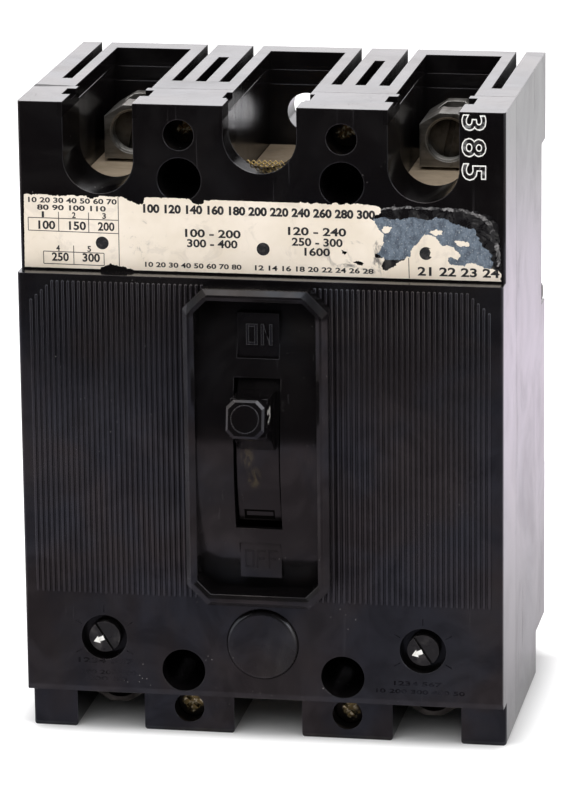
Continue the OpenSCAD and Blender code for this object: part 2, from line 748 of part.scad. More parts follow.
module vent_mesh()
    color([0.8, 0.65, 0.3])
    block(-plate_w, plate_w, centre_wall_y, centre_wall_y + mesh_t, plate_z, plate_z + mesh_h);

module cover_screw(x, y, z)
    difference() {
        union() {
            rod_y(x, y, y + screw_head_t, z, screw_head_r);
            rod_y(x, y, screw_end_y, z, screw_r);
        }
        translate([x, y, z]) rotate([0, cross_angle, 0]) {
            block(-cross_l / 2, cross_l / 2, -cut, cross_d, -cross_w / 2, cross_w / 2);
            block(-cross_w / 2, cross_w / 2, -cut, cross_d, -cross_l / 2, cross_l / 2);
        }
    }

module upper_left_cover_screw()
    color([0.8, 0.65, 0.35]) cover_screw(-mount_x, upper_y + upper_sink, upper_screw_z);

module upper_right_cover_screw()
    color([0.8, 0.65, 0.35]) cover_screw(mount_x, upper_y + upper_sink, upper_screw_z);

module lower_left_cover_screw()
    color([0.8, 0.65, 0.35]) cover_screw(-mount_x, foot_y + lower_sink, lower_screw_z);

module lower_right_cover_screw()
    color([0.8, 0.65, 0.35]) cover_screw(mount_x, foot_y + lower_sink, lower_screw_z);

module rating_label()
    color([0.85, 0.82, 0.72])
    difference() {
        block(-label_w, label_w, upper_y - label_t, upper_y, label_low, label_high);
        for (x = [-mount_x, mount_x])
            rod_y(x, 0, upper_y + cut, mount_top_z, mount_head_r + seat_gap);
    }

module rear_seal()
    color([0.1, 0.09, 0.08]) {
        block(seal_x, half_w - seal_inset, seal_y, seal_y + seal_w / 2,
            recess_z, recess_z + seal_w);
        rod_x(seal_x, half_w - seal_inset, seal_y + seal_w / 2, recess_z + seal_w / 2, seal_w / 2);
    }

translate([0, -centre_y, 0]) {
    base();
    cover();
    handle();
    handle_shutter();
    handle_pivot_pin();
    left_trip_dial();
    right_trip_dial();
    blank_plug();
    left_line_lug();
    right_line_lug();
    left_line_lug_screw();
    right_line_lug_screw();
    left_line_strap();
    right_line_strap();
    left_load_lug();
    right_load_lug();
    left_load_lug_screw();
    right_load_lug_screw();
    left_load_strap();
    right_load_strap();
    left_line_fibre_plate();
    centre_line_fibre_plate();
    right_line_fibre_plate();
    left_load_fibre_plate();
    centre_load_fibre_plate();
    right_load_fibre_plate();
    vent_mesh();
    upper_left_cover_screw();
    upper_right_cover_screw();
    lower_left_cover_screw();
    lower_right_cover_screw();
    rating_label();
    rear_seal();
}
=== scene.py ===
import math
import random
import bmesh
import bpy
from mathutils import Matrix, Vector, noise


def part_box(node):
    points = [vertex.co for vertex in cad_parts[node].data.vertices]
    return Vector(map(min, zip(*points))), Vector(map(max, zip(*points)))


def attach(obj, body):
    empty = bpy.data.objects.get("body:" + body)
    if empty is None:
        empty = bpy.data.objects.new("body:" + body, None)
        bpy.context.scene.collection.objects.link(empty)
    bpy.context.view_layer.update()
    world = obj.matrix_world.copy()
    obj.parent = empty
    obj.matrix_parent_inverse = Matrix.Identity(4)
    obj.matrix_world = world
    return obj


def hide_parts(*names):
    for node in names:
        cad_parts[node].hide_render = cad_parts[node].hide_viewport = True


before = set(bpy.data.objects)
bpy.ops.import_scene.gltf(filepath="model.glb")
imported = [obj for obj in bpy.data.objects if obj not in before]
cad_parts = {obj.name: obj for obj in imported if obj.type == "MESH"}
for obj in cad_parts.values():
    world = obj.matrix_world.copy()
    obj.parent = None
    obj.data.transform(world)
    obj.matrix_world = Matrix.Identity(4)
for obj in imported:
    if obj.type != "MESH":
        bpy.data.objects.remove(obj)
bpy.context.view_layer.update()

# ---- Camera ----
# The breaker stands upright on its load end and is looked at a little from the right
# and from above, with a long lens from about a metre away.

mm = 0.001
case_depth = 70 * mm
panel_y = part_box("base")[1][1] - case_depth


def at(x, depth, z):
    """A place in metres, from millimetres across, behind the ribbed panel and up."""
    return Vector((x * mm, panel_y + depth * mm, z * mm))


def placed(name, data):
    """Puts a mesh, a lamp or a camera into the scene."""
    made = bpy.data.objects.new(name, data)
    bpy.context.scene.collection.objects.link(made)
    return made


yaw, pitch, roll = (math.radians(v) for v in (10.28, 15.11, -0.66))
look = Vector((-math.sin(yaw) * math.cos(pitch), math.cos(yaw) * math.cos(pitch), -math.sin(pitch)))
level = Vector((math.cos(yaw), math.sin(yaw), 0))
upright = level.cross(look)
right = level * math.cos(roll) + upright * math.sin(roll)
over = upright * math.cos(roll) - level * math.sin(roll)
lens = bpy.data.cameras.new("camera")
lens.lens = 221.9
lens.sensor_width = 36
lens.sensor_fit = "AUTO"
lens.shift_y = -0.0025
lens.clip_start, lens.clip_end = 0.05, 50
camera = placed("camera", lens)
camera.matrix_world = Matrix.Translation(at(186.7, -996, 351)) @ Matrix(
    (right, over, -look)).transposed().to_4x4()
bpy.context.scene.camera = camera

# ---- Base and cover ----
# Two phenolic mouldings, nearly black and polished by the mould, screwed face to face.
# Years of handling left dull smears, hairline scratches, dust and rubbed edges.

pole, side_face, back_from = 34.925, 52.1, 60
seam_deep, front_wall, slot_front = 20.6, 4.1, 22
well_low, rim_low, case_top, well_half = 112, 136.7, 139.8, 8.5
hole_z, hole_radius = 123.65, 5.0
phenolic_stain = (0.0075, 0.0068, 0.0070)


class Steps:
    """Adds nodes to a tree, and fills or links their sockets."""

    def __init__(self, tree):
        self.tree = tree

    def put(self, socket, value):
        if hasattr(value, "is_linked"):
            self.tree.links.new(value, socket)
        else:
            socket.default_value = value

    def step(self, kind, settings=None, **inputs):
        """One node. Its sockets go by name, or by number after an underscore."""
        made = self.tree.nodes.new(kind)
        for key, value in (settings or {}).items():
            setattr(made, key, value)
        for key, value in inputs.items():
            self.put(made.inputs[int(key[1:]) if key[0] == "_" else key.replace("_", " ")], value)
        return made.outputs

    def math(self, operation, first, *others):
        for value in others:
            first = self.step("ShaderNodeMath", {"operation": operation}, _0=first, _1=value)[0]
        return first

    def times(self, *values):
        return self.math("MULTIPLY", *values)

    def plus(self, *values):
        return self.math("ADD", *values)

    def most(self, *values):
        return self.math("MAXIMUM", *values)

    def less(self, value, taken):
        return self.math("SUBTRACT", value, taken)

    def size(self, value):
        return self.math("ABSOLUTE", value, 0)


class Finish(Steps):
    """A material, and the steps that its patterns are made of."""

    def __init__(self, name, **fixed):
        self.material = bpy.data.materials.new(name)
        self.material.use_nodes = True
        super().__init__(self.material.node_tree)
        self.place = self.step("ShaderNodeTexCoord")["Object"]
        self.set(**fixed)

    def set(self, **values):
        """Fills or links the shader's own sockets."""
        for key, value in values.items():
            self.put(self.tree.nodes["Principled BSDF"].inputs[key.replace("_", " ")], value)

    def moved(self, stretch=(1, 1, 1), shift=(0, 0, 0), turn=(0, 0, 0)):
        return self.step("ShaderNodeMapping", Vector=self.place, Scale=stretch, Location=shift,
                         Rotation=turn)[0]

    def axes(self):
        """The place in millimetres across, behind the ribbed panel and up, as in at()."""
        whole = self.moved((1 / mm, 1 / mm, 1 / mm), (0, -panel_y / mm, 0))
        return self.step("ShaderNodeSeparateXYZ", Vector=whole)

    def noise(self, scale, detail=3, roughness=0.55, warp=0, **moves):
        return self.step("ShaderNodeTexNoise", Vector=self.moved(**moves), Scale=scale, Detail=detail,
                         Roughness=roughness, Distortion=warp)["Fac"]

    def cells(self, scale, shift=(0, 0, 0)):
        return self.step("ShaderNodeTexVoronoi", Vector=self.moved(shift=shift), Scale=scale)["Distance"]

    def patches(self, low, high, *grain, **moves):
        """A share that rises from 0 to 1 where a noise goes from low to high."""
        return self.level(self.noise(*grain, **moves), low, high)

    def level(self, value, low, high, to_low=0.0, to_high=1.0):
        return self.step("ShaderNodeMapRange", {"interpolation_type": "SMOOTHSTEP"},
                         _0=value, _1=low, _2=high, _3=to_low, _4=to_high)[0]

    def mix(self, share, a, b):
        a, b = (tone if hasattr(tone, "is_linked") else (*tone, 1) for tone in (a, b))
        return self.step("ShaderNodeMix", {"data_type": "RGBA"}, _0=share, _6=a, _7=b)[2]

    def near(self, centre, radii):
        """Distance from a place, in units of the radii along x, y and z."""
        scaled = self.moved([1 / r for r in radii], [-c / r for c, r in zip(centre, radii)])
        return self.step("ShaderNodeVectorMath", {"operation": "LENGTH"}, _0=scaled)["Value"]

    def rounded_edges(self, radius):
        """A softened normal at outer corners, and a share that is high along them."""
        bevel = self.step("ShaderNodeBevel", {"samples": 6}, Radius=radius)[0]
        flat = self.step("ShaderNodeNewGeometry")["Normal"]
        hollow = self.step("ShaderNodeAmbientOcclusion", {"samples": 4, "only_local": True},
                           Distance=radius * 2)["AO"]
        self.soft = self.step("ShaderNodeMix", {"data_type": "VECTOR"}, _0=self.level(hollow, 0.72, 0.95),
                              _4=flat, _5=bevel)[1]
        same = self.step("ShaderNodeVectorMath", {"operation": "DOT_PRODUCT"}, _0=self.soft, _1=flat)
        return self.level(same["Value"], 0.995, 0.93)

    def relief(self, height, distance, strength):
        under = {"Normal": self.soft} if hasattr(self, "soft") else {}
        self.set(Normal=self.step("ShaderNodeBump", Height=height, Distance=distance, Strength=strength,
                                  **under)[0])

    def dress(self, colour, grain, smooth, rough, height, distance, strength):
        """A colour, a roughness between two values that follows a grain, and a relief."""
        self.set(Base_Color=colour, Roughness=self.level(grain, 0.3, 0.7, smooth, rough))
        self.relief(height, distance, strength)


def wear(obj, finish):
    """Gives every face of a piece one material."""
    obj.data.materials.clear()
    obj.data.materials.append(finish.material)


def phenolic(name, gloss, stain, dust=1.0, edge=0.3, joint=False, edge_wear_and_highlight_tone=(0.016, 0.014, 0.015)):
    """Polished dark moulding: smears, scratches, dust specks and rubbed corners, whose pale tone can also be
    a painted highlight; hollows get painted shade.
    """
    case = Finish(name, IOR=1.6)
    rubbed = case.rounded_edges(edge * mm) if edge else 0.0
    across, deep, up = case.axes()
    aside = case.size(across)
    quiet = case.most(case.level(aside, side_face, side_face + 0.1),
                      case.level(deep, back_from, back_from + 2))
    smear = case.patches(0.42, 0.7, 38, 4, 0.6, warp=1.2)
    blue = case.level(case.noise(46, 3, 0.5, shift=(3, 1, 7), warp=0.6),
                      case.level(quiet, 0, 1, 0.36, 0.15), case.level(quiet, 0, 1, 0.64, 0.85))
    hair = case.most(*(
        case.patches(0.70, 0.73, scale, 2, 0.5, stretch=(1, 1, 0.02), turn=turn)
        for scale, turn in ((900, (0.2, 0.5, 0.1)), (1100, (-0.3, -0.9, 0.4)), (800, (0.1, 1.4, 0)))))
    hair = case.times(hair, case.patches(0.52, 0.66, 40, 2))
    speck = case.times(case.level(case.cells(240), 0.05, 0.03),
                       case.patches(0.58, 0.66, 33, 3, shift=(2, 9, 4)))
    fine = case.times(case.level(case.cells(700, (1, 1, 1)), 0.08, 0.05),
                      case.patches(0.58, 0.68, 45, 3, shift=(7, 3, 1)))
    dirt = case.times(case.most(speck, fine), dust)
    body = case.mix(smear, (0.0036, 0.0030, 0.0033), stain)
    # Rubbed corners take a paler tone; on the letters this pale edge tone is a painted highlight.
    body = case.mix(case.times(rubbed, 0.8), body, edge_wear_and_highlight_tone)
    body = case.mix(case.times(hair, 0.35), body, (0.03, 0.028, 0.03))
    body = case.mix(dirt, body, (0.25, 0.235, 0.22))
    sheen = case.level(case.noise(62, 4, 0.6, shift=(9, 2, 3), warp=1.4), 0.36, 0.66,
                       case.level(quiet, 0, 1, 0.58, 0.49), case.level(quiet, 0, 1, 0.36, 0.44))
    # Painted shade: the sheen is taken away in hollows that ambient occlusion finds, more strongly above 105
    # mm, so that holes, slots and mouths read dark.
    if edge:
        hollow = case.step("ShaderNodeAmbientOcclusion", {"samples": 6}, Distance=5 * mm)["AO"]
        aloft = case.level(up, 103, 105)
        sheen = case.times(sheen, case.level(hollow, case.level(aloft, 0, 1, 0.12, 0.40),
                                             case.level(aloft, 0, 1, 0.62, 0.88), 0.01, 1.0))
    if joint:
        def within(value, low, high, soft=0.15):
            return case.times(case.level(value, low - soft, low), case.level(value, high + soft, high))

        def darken_sheen(*shares):
            return case.times(sheen, case.less(1.0, case.times(*shares)))

        # The seam between cover and base, which gapes at its upper left end.
        split = case.times(case.level(across, -43, -46), case.level(up, 136, 139),
                           case.level(across, -47, -51, 0.5, 1.1))
        gap = case.level(case.less(case.size(case.less(deep, seam_deep)), split), 0.16, 0.06)
        body = case.mix(gap, body, (0.001, 0.001, 0.001))
        sheen = darken_sheen(0.97, gap)
        # Painted shade: these faces lose their sheen so that they read dark: the well rims
        # above the beads, the slots between the wells, the mouths of the side wells and of
        # the centre one, and the outer half of the left well.
        wall = case.math("MINIMUM", aside, case.size(case.less(aside, pole)))
        inside = case.times(within(aside, -1, side_face), within(up, well_low, case_top, 0.03))
        sheen = darken_sheen(0.97, within(wall, -1, well_half), within(up, rim_low, case_top, 0.03))
        sheen = darken_sheen(0.985, inside, case.level(wall, well_half, well_half + 0.1),
                       case.level(deep, slot_front - 0.15, slot_front))
        sheen = darken_sheen(case.level(aside, 14, 18, 0.0, 0.9), inside, within(deep, front_wall, 20.5))
        sheen = darken_sheen(case.level(aside, 18, 14, 0.0, 0.96), inside, within(deep, front_wall, 10.4))
        sheen = darken_sheen(0.55, inside, case.level(across, -34, -36), within(deep, 20.5, 30))
        # Painted shade in the bores of the two upper mounting holes.
        out = case.less(aside, pole / 2)
        rise = case.less(up, hole_z)
        bore = case.plus(case.times(out, out), case.times(rise, rise))
        sheen = darken_sheen(0.8, case.level(bore, (hole_radius + 0.1) ** 2, (hole_radius - 0.1) ** 2),
                       case.level(deep, front_wall, front_wall + 0.3))
    dull = case.level(case.noise(42, 4, 0.6, shift=(1, 5, 2), warp=0.8), 0.35, 0.75, gloss, gloss + 0.09)
    case.set(Base_Color=body, Specular_IOR_Level=sheen,
             Specular_Tint=case.mix(blue, (1.0, 0.89, 0.85), (0.80, 0.87, 1.0)),
             Roughness=case.plus(dull, case.times(hair, 0.15), case.times(dirt, 0.4)))
    case.relief(case.plus(case.less(case.times(case.noise(900, 2), 0.12), hair), dirt), 0.02 * mm, 0.35)
    case.body, case.sheen = body, sheen
    return case


rim_x, brow_x, brow_z = 15.1, 9.5, 95.6
tablet_half, tablet_z, tablet_reach = 4.55, 91.35, 4.95
cover = phenolic("cover_phenolic", 0.12, phenolic_stain, joint=True)
base = phenolic("base_phenolic", 0.16, phenolic_stain, joint=True)
across, deep, up = cover.axes()
proud = cover.level(deep, -0.2, -0.4)
# The upper tablet and the bevel over the escutcheon lose sheen, a painted shade, and the bevel on its left
# gets a pale painted highlight.
tablet_shade = cover.times(
    cover.level(cover.size(across), tablet_half, tablet_half - 0.15),
    cover.level(cover.size(cover.less(up, tablet_z)), tablet_reach, tablet_reach - 0.15))
brow_shade = cover.times(proud, cover.level(up, brow_z, brow_z + 1),
                   cover.level(across, brow_x, 12, cover.level(across, -brow_x, -12, 0.34, 0.5), 0.8))
left_bevel_highlight = cover.times(cover.level(cover.size(cover.plus(across, rim_x)), 0.62, 0.5), proud,
                         cover.level(cover.noise(120, 3, 0.6, stretch=(1, 1, 0.4)), 0.3, 0.7, 0.35, 1.0))
cover.set(Base_Color=cover.mix(left_bevel_highlight, cover.body, (0.036, 0.034, 0.038)),
          Specular_IOR_Level=cover.times(cover.sheen, cover.less(1.0, brow_shade),
                                         cover.less(1.0, cover.times(tablet_shade, 0.72))))
wear(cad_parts["cover"], cover)
wear(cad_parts["base"], base)

# ---- Ribs of the front panel ----
# Fine upright half round ribs, moulded in one with the cover on both sides of the
# escutcheon. The outermost ones are shorter, so that the field's corners are cut off,
# and short ones fill the corners beside the bevels of the escutcheon.

rib_pitch, rib_half, rib_proud = 1.1625 * mm, 0.42 * mm, 0.38 * mm
rib_low, rib_high, rib_inner, rib_count, stub_length = 32.3, 102.0, 15.64, 30, 4
rib = phenolic("rib_phenolic", 0.16, (0.0080, 0.0068, 0.0070), dust=0.8, edge=0)
# Painted light on the ribs: the crests are paler and shinier, a painted highlight, and the roots between them
# lose sheen, a painted shade.
crest = rib.level(rib.axes()[1], -0.12, -0.34)
rib.set(Base_Color=rib.mix(rib.times(crest, 0.75), rib.body, (0.017, 0.015, 0.018)),
        Specular_IOR_Level=rib.times(rib.sheen, rib.level(crest, 0.0, 1.0, 0.35, 1.15)))


def wrap(shape, rows, ring=False):
    """Joins rows of corners into a closed skin, with flat ends or bent round to a ring."""
    for here, there in zip(rows, rows[1:] + (rows[:1] if ring else [])):
        for k in range(len(here)):
            n = (k + 1) % len(here)
            shape.faces.new((here[k], here[n], there[n], there[k]))
    if not ring:
        shape.faces.new(rows[0])
        shape.faces.new(rows[-1])


def new_piece(name, shape, smooth=0, closed=True):
    """Puts a shape into the scene. Faces with as many corners as smooth says are smooth."""
    if closed:
        bmesh.ops.recalc_face_normals(shape, faces=shape.faces)
    mesh = bpy.data.meshes.new(name)
    shape.to_mesh(mesh)
    for face in mesh.polygons:
        face.use_smooth = len(face.vertices) == smooth
    return placed(name, mesh)


def rib_bar(length):
    """One rib lying against the panel, with rounded ends and a closed back."""
    shape = bmesh.new()
    ends = [0, 0.12, 0.35, 0.65, 1.0]
    rows = []
    for z in [e * rib_half for e in ends] + [length - e * rib_half for e in reversed(ends)]:
        away = max(0.0, 1 - min(z, length - z) / rib_half)
        girth = math.sqrt(max(0.0, 1 - away * away)) * 0.97 + 0.03
        rows.append([shape.verts.new((-rib_half * girth * math.cos(t), -rib_proud * girth * math.sin(t), z))
                     for t in [math.pi * k / 8 for k in range(9)]])
    wrap(shape, rows)
    return new_piece("rib_bar", shape, smooth=4)


class Tree(Steps):
    """A geometry node tree with named inputs that sets copies of one object."""

    def __init__(self, name, **inputs):
        super().__init__(bpy.data.node_groups.new(name, "GeometryNodeTree"))
        face = self.tree.interface
        face.new_socket("Geometry", in_out="INPUT", socket_type="NodeSocketGeometry")
        kinds = {bpy.types.Object: "Object", bpy.types.Material: "Material", int: "Int",
                 float: "Float", tuple: "Vector"}
        self.values = {}
        for key, value in inputs.items():
            kind = next(k for t, k in kinds.items() if isinstance(value, t))
            item = face.new_socket(key, in_out="INPUT", socket_type="NodeSocket" + kind)
            self.values[item.identifier] = value
        face.new_socket("Geometry", in_out="OUTPUT", socket_type="NodeSocketGeometry")
        self.given = self.step("NodeGroupInput")

    def vector(self, x=0.0, y=0.0, z=0.0):
        return self.step("ShaderNodeCombineXYZ", X=x, Y=y, Z=z)[0]

    def line(self, count, start, offset=(0, 0, 0)):
        return self.step("GeometryNodeMeshLine", {"mode": "OFFSET"}, Count=count, Start_Location=start,
                         Offset=offset)[0]

    def build(self, name, points, item, **how):
        """Sets a copy on every point, runs the tree and keeps its result as a plain mesh."""
        shape = self.step("GeometryNodeObjectInfo", Object=item)["Geometry"]
        copies = self.step("GeometryNodeInstanceOnPoints", Points=points, Instance=shape, **how)[0]
        real = self.step("GeometryNodeRealizeInstances", Geometry=copies)[0]
        dressed = self.step("GeometryNodeSetMaterial", Geometry=real, Material=self.given["Material"])[0]
        self.tree.links.new(dressed, self.tree.nodes.new("NodeGroupOutput").inputs[0])
        holder = placed(name + "_tree", bpy.data.meshes.new(name + "_tree"))
        modifier = holder.modifiers.new("tree", "NODES")
        modifier.node_group = self.tree
        for identifier, value in self.values.items():
            modifier[identifier] = value
        graph = bpy.context.evaluated_depsgraph_get()
        mesh = bpy.data.meshes.new_from_object(holder.evaluated_get(graph))
        holder.modifiers.clear()
        bpy.data.objects.remove(holder)
        mesh.name = name
        return placed(name, mesh)


def rib_field(name, bar, start, offset, count, short_ribs, shortening):
    """One row of ribs, counted from its start, with its last ones shortened step by step."""
    tree = Tree(name, Bar=bar, Count=count, Step=offset, Start=tuple(start), Short_ribs=short_ribs,
                Shortening=shortening, Material=rib.material)
    given = tree.given
    first = tree.less(given["Count"], given["Short_ribs"])
    index = tree.step("GeometryNodeInputIndex")[0]
    past = tree.most(tree.plus(tree.less(index, first), 1.0), 0.0)
    height = tree.less(1.0, tree.times(past, given["Shortening"]))
    return tree.build(name, tree.line(given["Count"], given["Start"], given["Step"]), given["Bar"],
                      Scale=tree.vector(1.0, 1.0, height))


bar = rib_bar((rib_high - rib_low) * mm)
stub = rib_bar(stub_length * mm)
for name, side in (("left", -1.0), ("right", 1.0)):
    inner = side * (rib_inner - rib_pitch / mm)
    for ribs in (
            rib_field(name + "_ribs", bar, at(side * rib_inner, 0.02, rib_low), (side * rib_pitch, 0.0, 0.0),
                      rib_count, 4, 1.05 / (rib_high - rib_low)),
            rib_field(name + "_upper_corner_ribs", stub, at(inner, 0.02, rib_high - stub_length),
                      (-side * rib_pitch, 0.0, rib_pitch), 3, 2, rib_pitch / mm / stub_length),
            rib_field(name + "_lower_corner_ribs", stub, at(inner, 0.02, rib_low),
                      (-side * rib_pitch, 0.0, 0.0), 3, 2, rib_pitch / mm / stub_length)):
        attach(ribs, "case")
bpy.data.objects.remove(bar)
bpy.data.objects.remove(stub)

# ---- Beads of the well walls ----
# A fine half round bead, moulded in one with the base, runs along both side walls of
# each line well a little below the top.

bead_z, bead_half, bead_proud, bead_x = 136.55, 0.16 * mm, 0.12 * mm, 8.42
beads = bmesh.new()
for x in (-pole, 0, pole):
    for side in (-1, 1):
        wrap(beads, [[beads.verts.new(at(x + side * bead_x, depth, bead_z) + Vector((
            -side * bead_proud * size * math.sin(t), 0, bead_half * size * math.cos(t))))
                      for t in [math.pi * k / 6 for k in range(7)]]
                     for depth, size in ((14.0, 0.3), (15.5, 0.9), (21, 1.0), (58, 1.0), (59.5, 0.3))])
well_beads = new_piece("well_beads", beads, smooth=4)
wear(well_beads, phenolic("bead_phenolic", 0.12, phenolic_stain, edge=0))
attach(well_beads, "case")

# ---- ON and OFF letters ----
# Block letters standing proud of the two flat tablets, moulded with the cover. The ON
# letters are sharp, the OFF letters shallow and worn.


def block_letters(text, left, low, width, height, stroke, gap):
    """Strokes of squarish capitals: O as a frame, N with a sloping bar, F with two arms."""
    def bar(x0, x1, z0, z1):
        return [(x0, z0), (x1, z0), (x1, z1), (x0, z1)]

    shapes = []
    for letter in text:
        right, top, middle = left + width, low + height, low + height * 0.52
        arm_left = left + stroke
        shapes.append(bar(left, arm_left, low, top))
        if letter in "ON":
            shapes.append(bar(right - stroke, right, low, top))
        if letter == "N":
            shapes.append([(arm_left, top - stroke * 1.5), (right - stroke, low + stroke * 1.5),
                           (right - stroke, low), (arm_left, top)])
        if letter == "O":
            shapes.append(bar(arm_left, right - stroke, top - stroke, top))
            shapes.append(bar(arm_left, right - stroke, low, low + stroke))
        if letter == "F":
            shapes.append(bar(arm_left, right, top - stroke, top))
            shapes.append(bar(arm_left, right - stroke * 0.6, middle - stroke / 2, middle + stroke / 2))
        left = right + gap
    return shapes


# Painted highlight: the pale edge tone of both letter finishes stands for light caught on the rounded edges
# of the letters, bright on ON and faint on OFF.
sharp = phenolic("letter_phenolic", 0.2, (0.008, 0.007, 0.007), edge=0.14, edge_wear_and_highlight_tone=(0.15, 0.145, 0.15))
worn = phenolic("worn_letter_phenolic", 0.3, (0.004, 0.0035, 0.004), dust=0.5, edge=0.1,
                edge_wear_and_highlight_tone=(0.02, 0.018, 0.02))
for name, shapes, face, height, finish in (
        ("on_letters", block_letters("ON", -2.6, 89.3, 2.45, 4.6, 0.62, 0.75), -0.3, 0.42, sharp),
        ("off_letters", block_letters("OFF", -3.5, 39.9, 2.0, 3.9, 0.4, 0.55), -0.6, 0.10, worn)):
    slab = bmesh.new()
    for outline in shapes:
        wrap(slab, [[slab.verts.new(at(x, depth, z)) for x, z in outline]
                    for depth in (face - height, face + 0.05)])
    letters = new_piece(name, slab)
    wear(letters, finish)
    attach(letters, "case")

# ---- Dial marks ----
# Five short raised strokes round each dial, from the lowest setting at eight o'clock
# clockwise to the highest at four o'clock, and rows of small shallow figures below the
# dials, all moulded with the cover and filled with dust and grease.

dial_z, stroke_from, stroke_to = 22.45, 5.7, 7.2
greasy = phenolic("greasy_phenolic", 0.3, (0.004, 0.003, 0.004), edge=0)
greasy.set(Specular_IOR_Level=greasy.level(greasy.noise(260, 4, 0.6, warp=0.8), 0.36, 0.64, 0.1, 0.55))


def lettering(name, text, width, height, place, thick, turn=0.0, bold=0.0, outline=0.0, spacing=1.0):
    """Plain figures as a mesh facing the front, fitted to a width and height in metres."""
    curve = bpy.data.curves.new(name, "FONT")
    curve.body = text
    curve.resolution_u = 3
    curve.offset, curve.space_character = bold, spacing
    if outline:
        curve.fill_mode, curve.bevel_depth, curve.bevel_resolution = "NONE", outline, 1
    else:
        curve.extrude = 0.01
    writer = placed(name, curve)
    graph = bpy.context.evaluated_depsgraph_get()
    mesh = bpy.data.meshes.new_from_object(writer.evaluated_get(graph))
    bpy.data.objects.remove(writer)
    low, high = ([f(v.co[k] for v in mesh.vertices) for k in range(3)] for f in (min, max))
    mesh.transform(Matrix.Translation([-(a + b) / 2 for a, b in zip(low, high)]))
    fit = [size / (b - a) for size, a, b in zip((width, height, thick), low, high)]
    mesh.transform(Matrix.Translation(place) @ Matrix.Rotation(math.radians(turn), 4, "Y")
                   @ Matrix.Rotation(math.radians(90), 4, "X") @ Matrix.Diagonal((*fit, 1)))
    mesh.name = name
    return placed(name, mesh)


for name, x in (("left_dial_marks", -pole), ("right_dial_marks", pole)):
    shape = bmesh.new()
    wrap(shape, [[shape.verts.new((u * mm, v * mm, along * mm))
                  for u, v in ((-0.13, 0.05), (0.13, 0.05), (0.078, -0.1), (-0.078, -0.1))]
                 for along in (stroke_from, stroke_to)])
    stroke = new_piece("stroke", shape)
    tree = Tree(name, Stroke=stroke, Settings=5, First=math.radians(240), Step=math.radians(60),
                Centre=tuple(at(x, 0, dial_z)), Material=greasy.material)
    given = tree.given
    index = tree.step("GeometryNodeInputIndex")[0]
    angle = tree.plus(given["First"], tree.times(index, given["Step"]))
    turned = tree.step("FunctionNodeEulerToRotation", Euler=tree.vector(y=angle))[0]
    marks = tree.build(name, tree.line(given["Settings"], given["Centre"]), given["Stroke"],
                       Rotation=turned)
    bpy.data.objects.remove(stroke)
    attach(marks, "case")
for name, text, tall, x0, x1, z in (
        ("left_row_one", "1234 567", 1.15, -40.8, -28.6, 16.5),
        ("left_row_two", "100 200 300", 0.95, -40.0, -28.0, 14.0),
        ("left_row_three", "400 50", 0.95, -39.1, -30.1, 12.5),
        ("right_row_one", "1234 567", 1.0, 28.6, 39.0, 14.5),
        ("right_row_two", "10 200 300 400 50", 0.95, 24.7, 44.0, 12.7)):
    row = lettering("moulded_" + name, text, (x1 - x0) * mm, tall * mm,
                    at((x0 + x1) / 2, 0, z + tall / 2), 0.08 * mm, bold=0.02)
    wear(row, greasy)
    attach(row, "case")

# ---- Blank plug ----
# A push-in phenolic button with a rounded edge that closes the spare hole. Its face is
# a little duller than the cover.

wear(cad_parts["blank_plug"], phenolic("plug_phenolic", 0.24, (0.016, 0.0145, 0.014), edge=0.1))

# ---- Trip dials ----
# Satin black plastic dials with a fine screwdriver slot, sunk in round pockets. Each
# has a white arrow printed square to the slot, at rest pointing to the lowest setting.

dial_face, arrow_turn = 0.4, 246
dial = Finish("dial_plastic", IOR=1.5, Specular_IOR_Level=0.3)
pale = dial.most(dial.rounded_edges(0.12 * mm), dial.patches(0.5, 0.75, 400, 4))
dial.dress(dial.mix(pale, (0.012, 0.011, 0.012), (0.05, 0.045, 0.045)), dial.noise(700), 0.25, 0.5,
           dial.noise(1800), 0.03 * mm, 0.5)
paint = Finish("white_paint", IOR=1.5)
paint.dress(paint.mix(paint.patches(0.45, 0.7, 1500), (0.95, 0.94, 0.90), (0.8, 0.78, 0.73)),
            paint.noise(2500, 2), 0.4, 0.7, paint.noise(3000), 0.03 * mm, 0.6)
for name, x in (("left", -pole), ("right", pole)):
    wear(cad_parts[name + "_trip_dial"], dial)
    arrow = bmesh.new()
    wrap(arrow, [[arrow.verts.new((u * mm, depth * mm, v * mm)) for u, v in (
        (-0.66, 0.28), (0.36, 0.24), (0.34, 1.4), (0.74, 1.35), (-0.08, 2.72), (-1.0, 1.5), (-0.62, 1.45))]
                 for depth in (0.01, -0.05)])
    pointer = new_piece(name + "_dial_arrow", arrow)
    pointer.data.transform(Matrix.Translation(at(x, dial_face, dial_z))
                           @ Matrix.Rotation(math.radians(arrow_turn), 4, "Y"))
    wear(pointer, paint)
    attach(pointer, name + "_dial")

# ---- Handle and shutter ----
# The switching lever is a glossy phenolic moulding with an octagonal knob. The curved
# shutter behind the slot moves with it and keeps dust out of the case.

pivot_deep, pivot_z, knob_reach = 42, 65.8, 60.4
lean = Matrix.Rotation(math.radians(-11.05), 4, "X")
lever = phenolic("handle_phenolic", 0.15, (0.010, 0.009, 0.009), edge=0.2)
scuff = lever.times(lever.level(lever.near(at(4.35, -11.5, 77.2), (0.0024, 0.0022, 0.0024)), 1.0, 0.7),
                    lever.patches(0.48, 0.53, 1300, 3, 0.6, stretch=(1, 0.35, 1)))
streaks = [lever.level(lever.near(at(x, -3, z), (0.0016, 0.004, 0.0026)), 1.2, 0.4)
           for x, z in ((-2.3, 65.0), (-0.9, 60.6))]
wiped = lever.times(lever.most(*streaks),
                    lever.patches(0.38, 0.56, 420, 3, 0.6, stretch=(1, 0.4, 0.4), warp=0.6))
tone = lever.mix(wiped, lever.body, (0.043, 0.033, 0.016))
lever.set(Base_Color=lever.mix(scuff, tone, (0.62, 0.60, 0.56)))
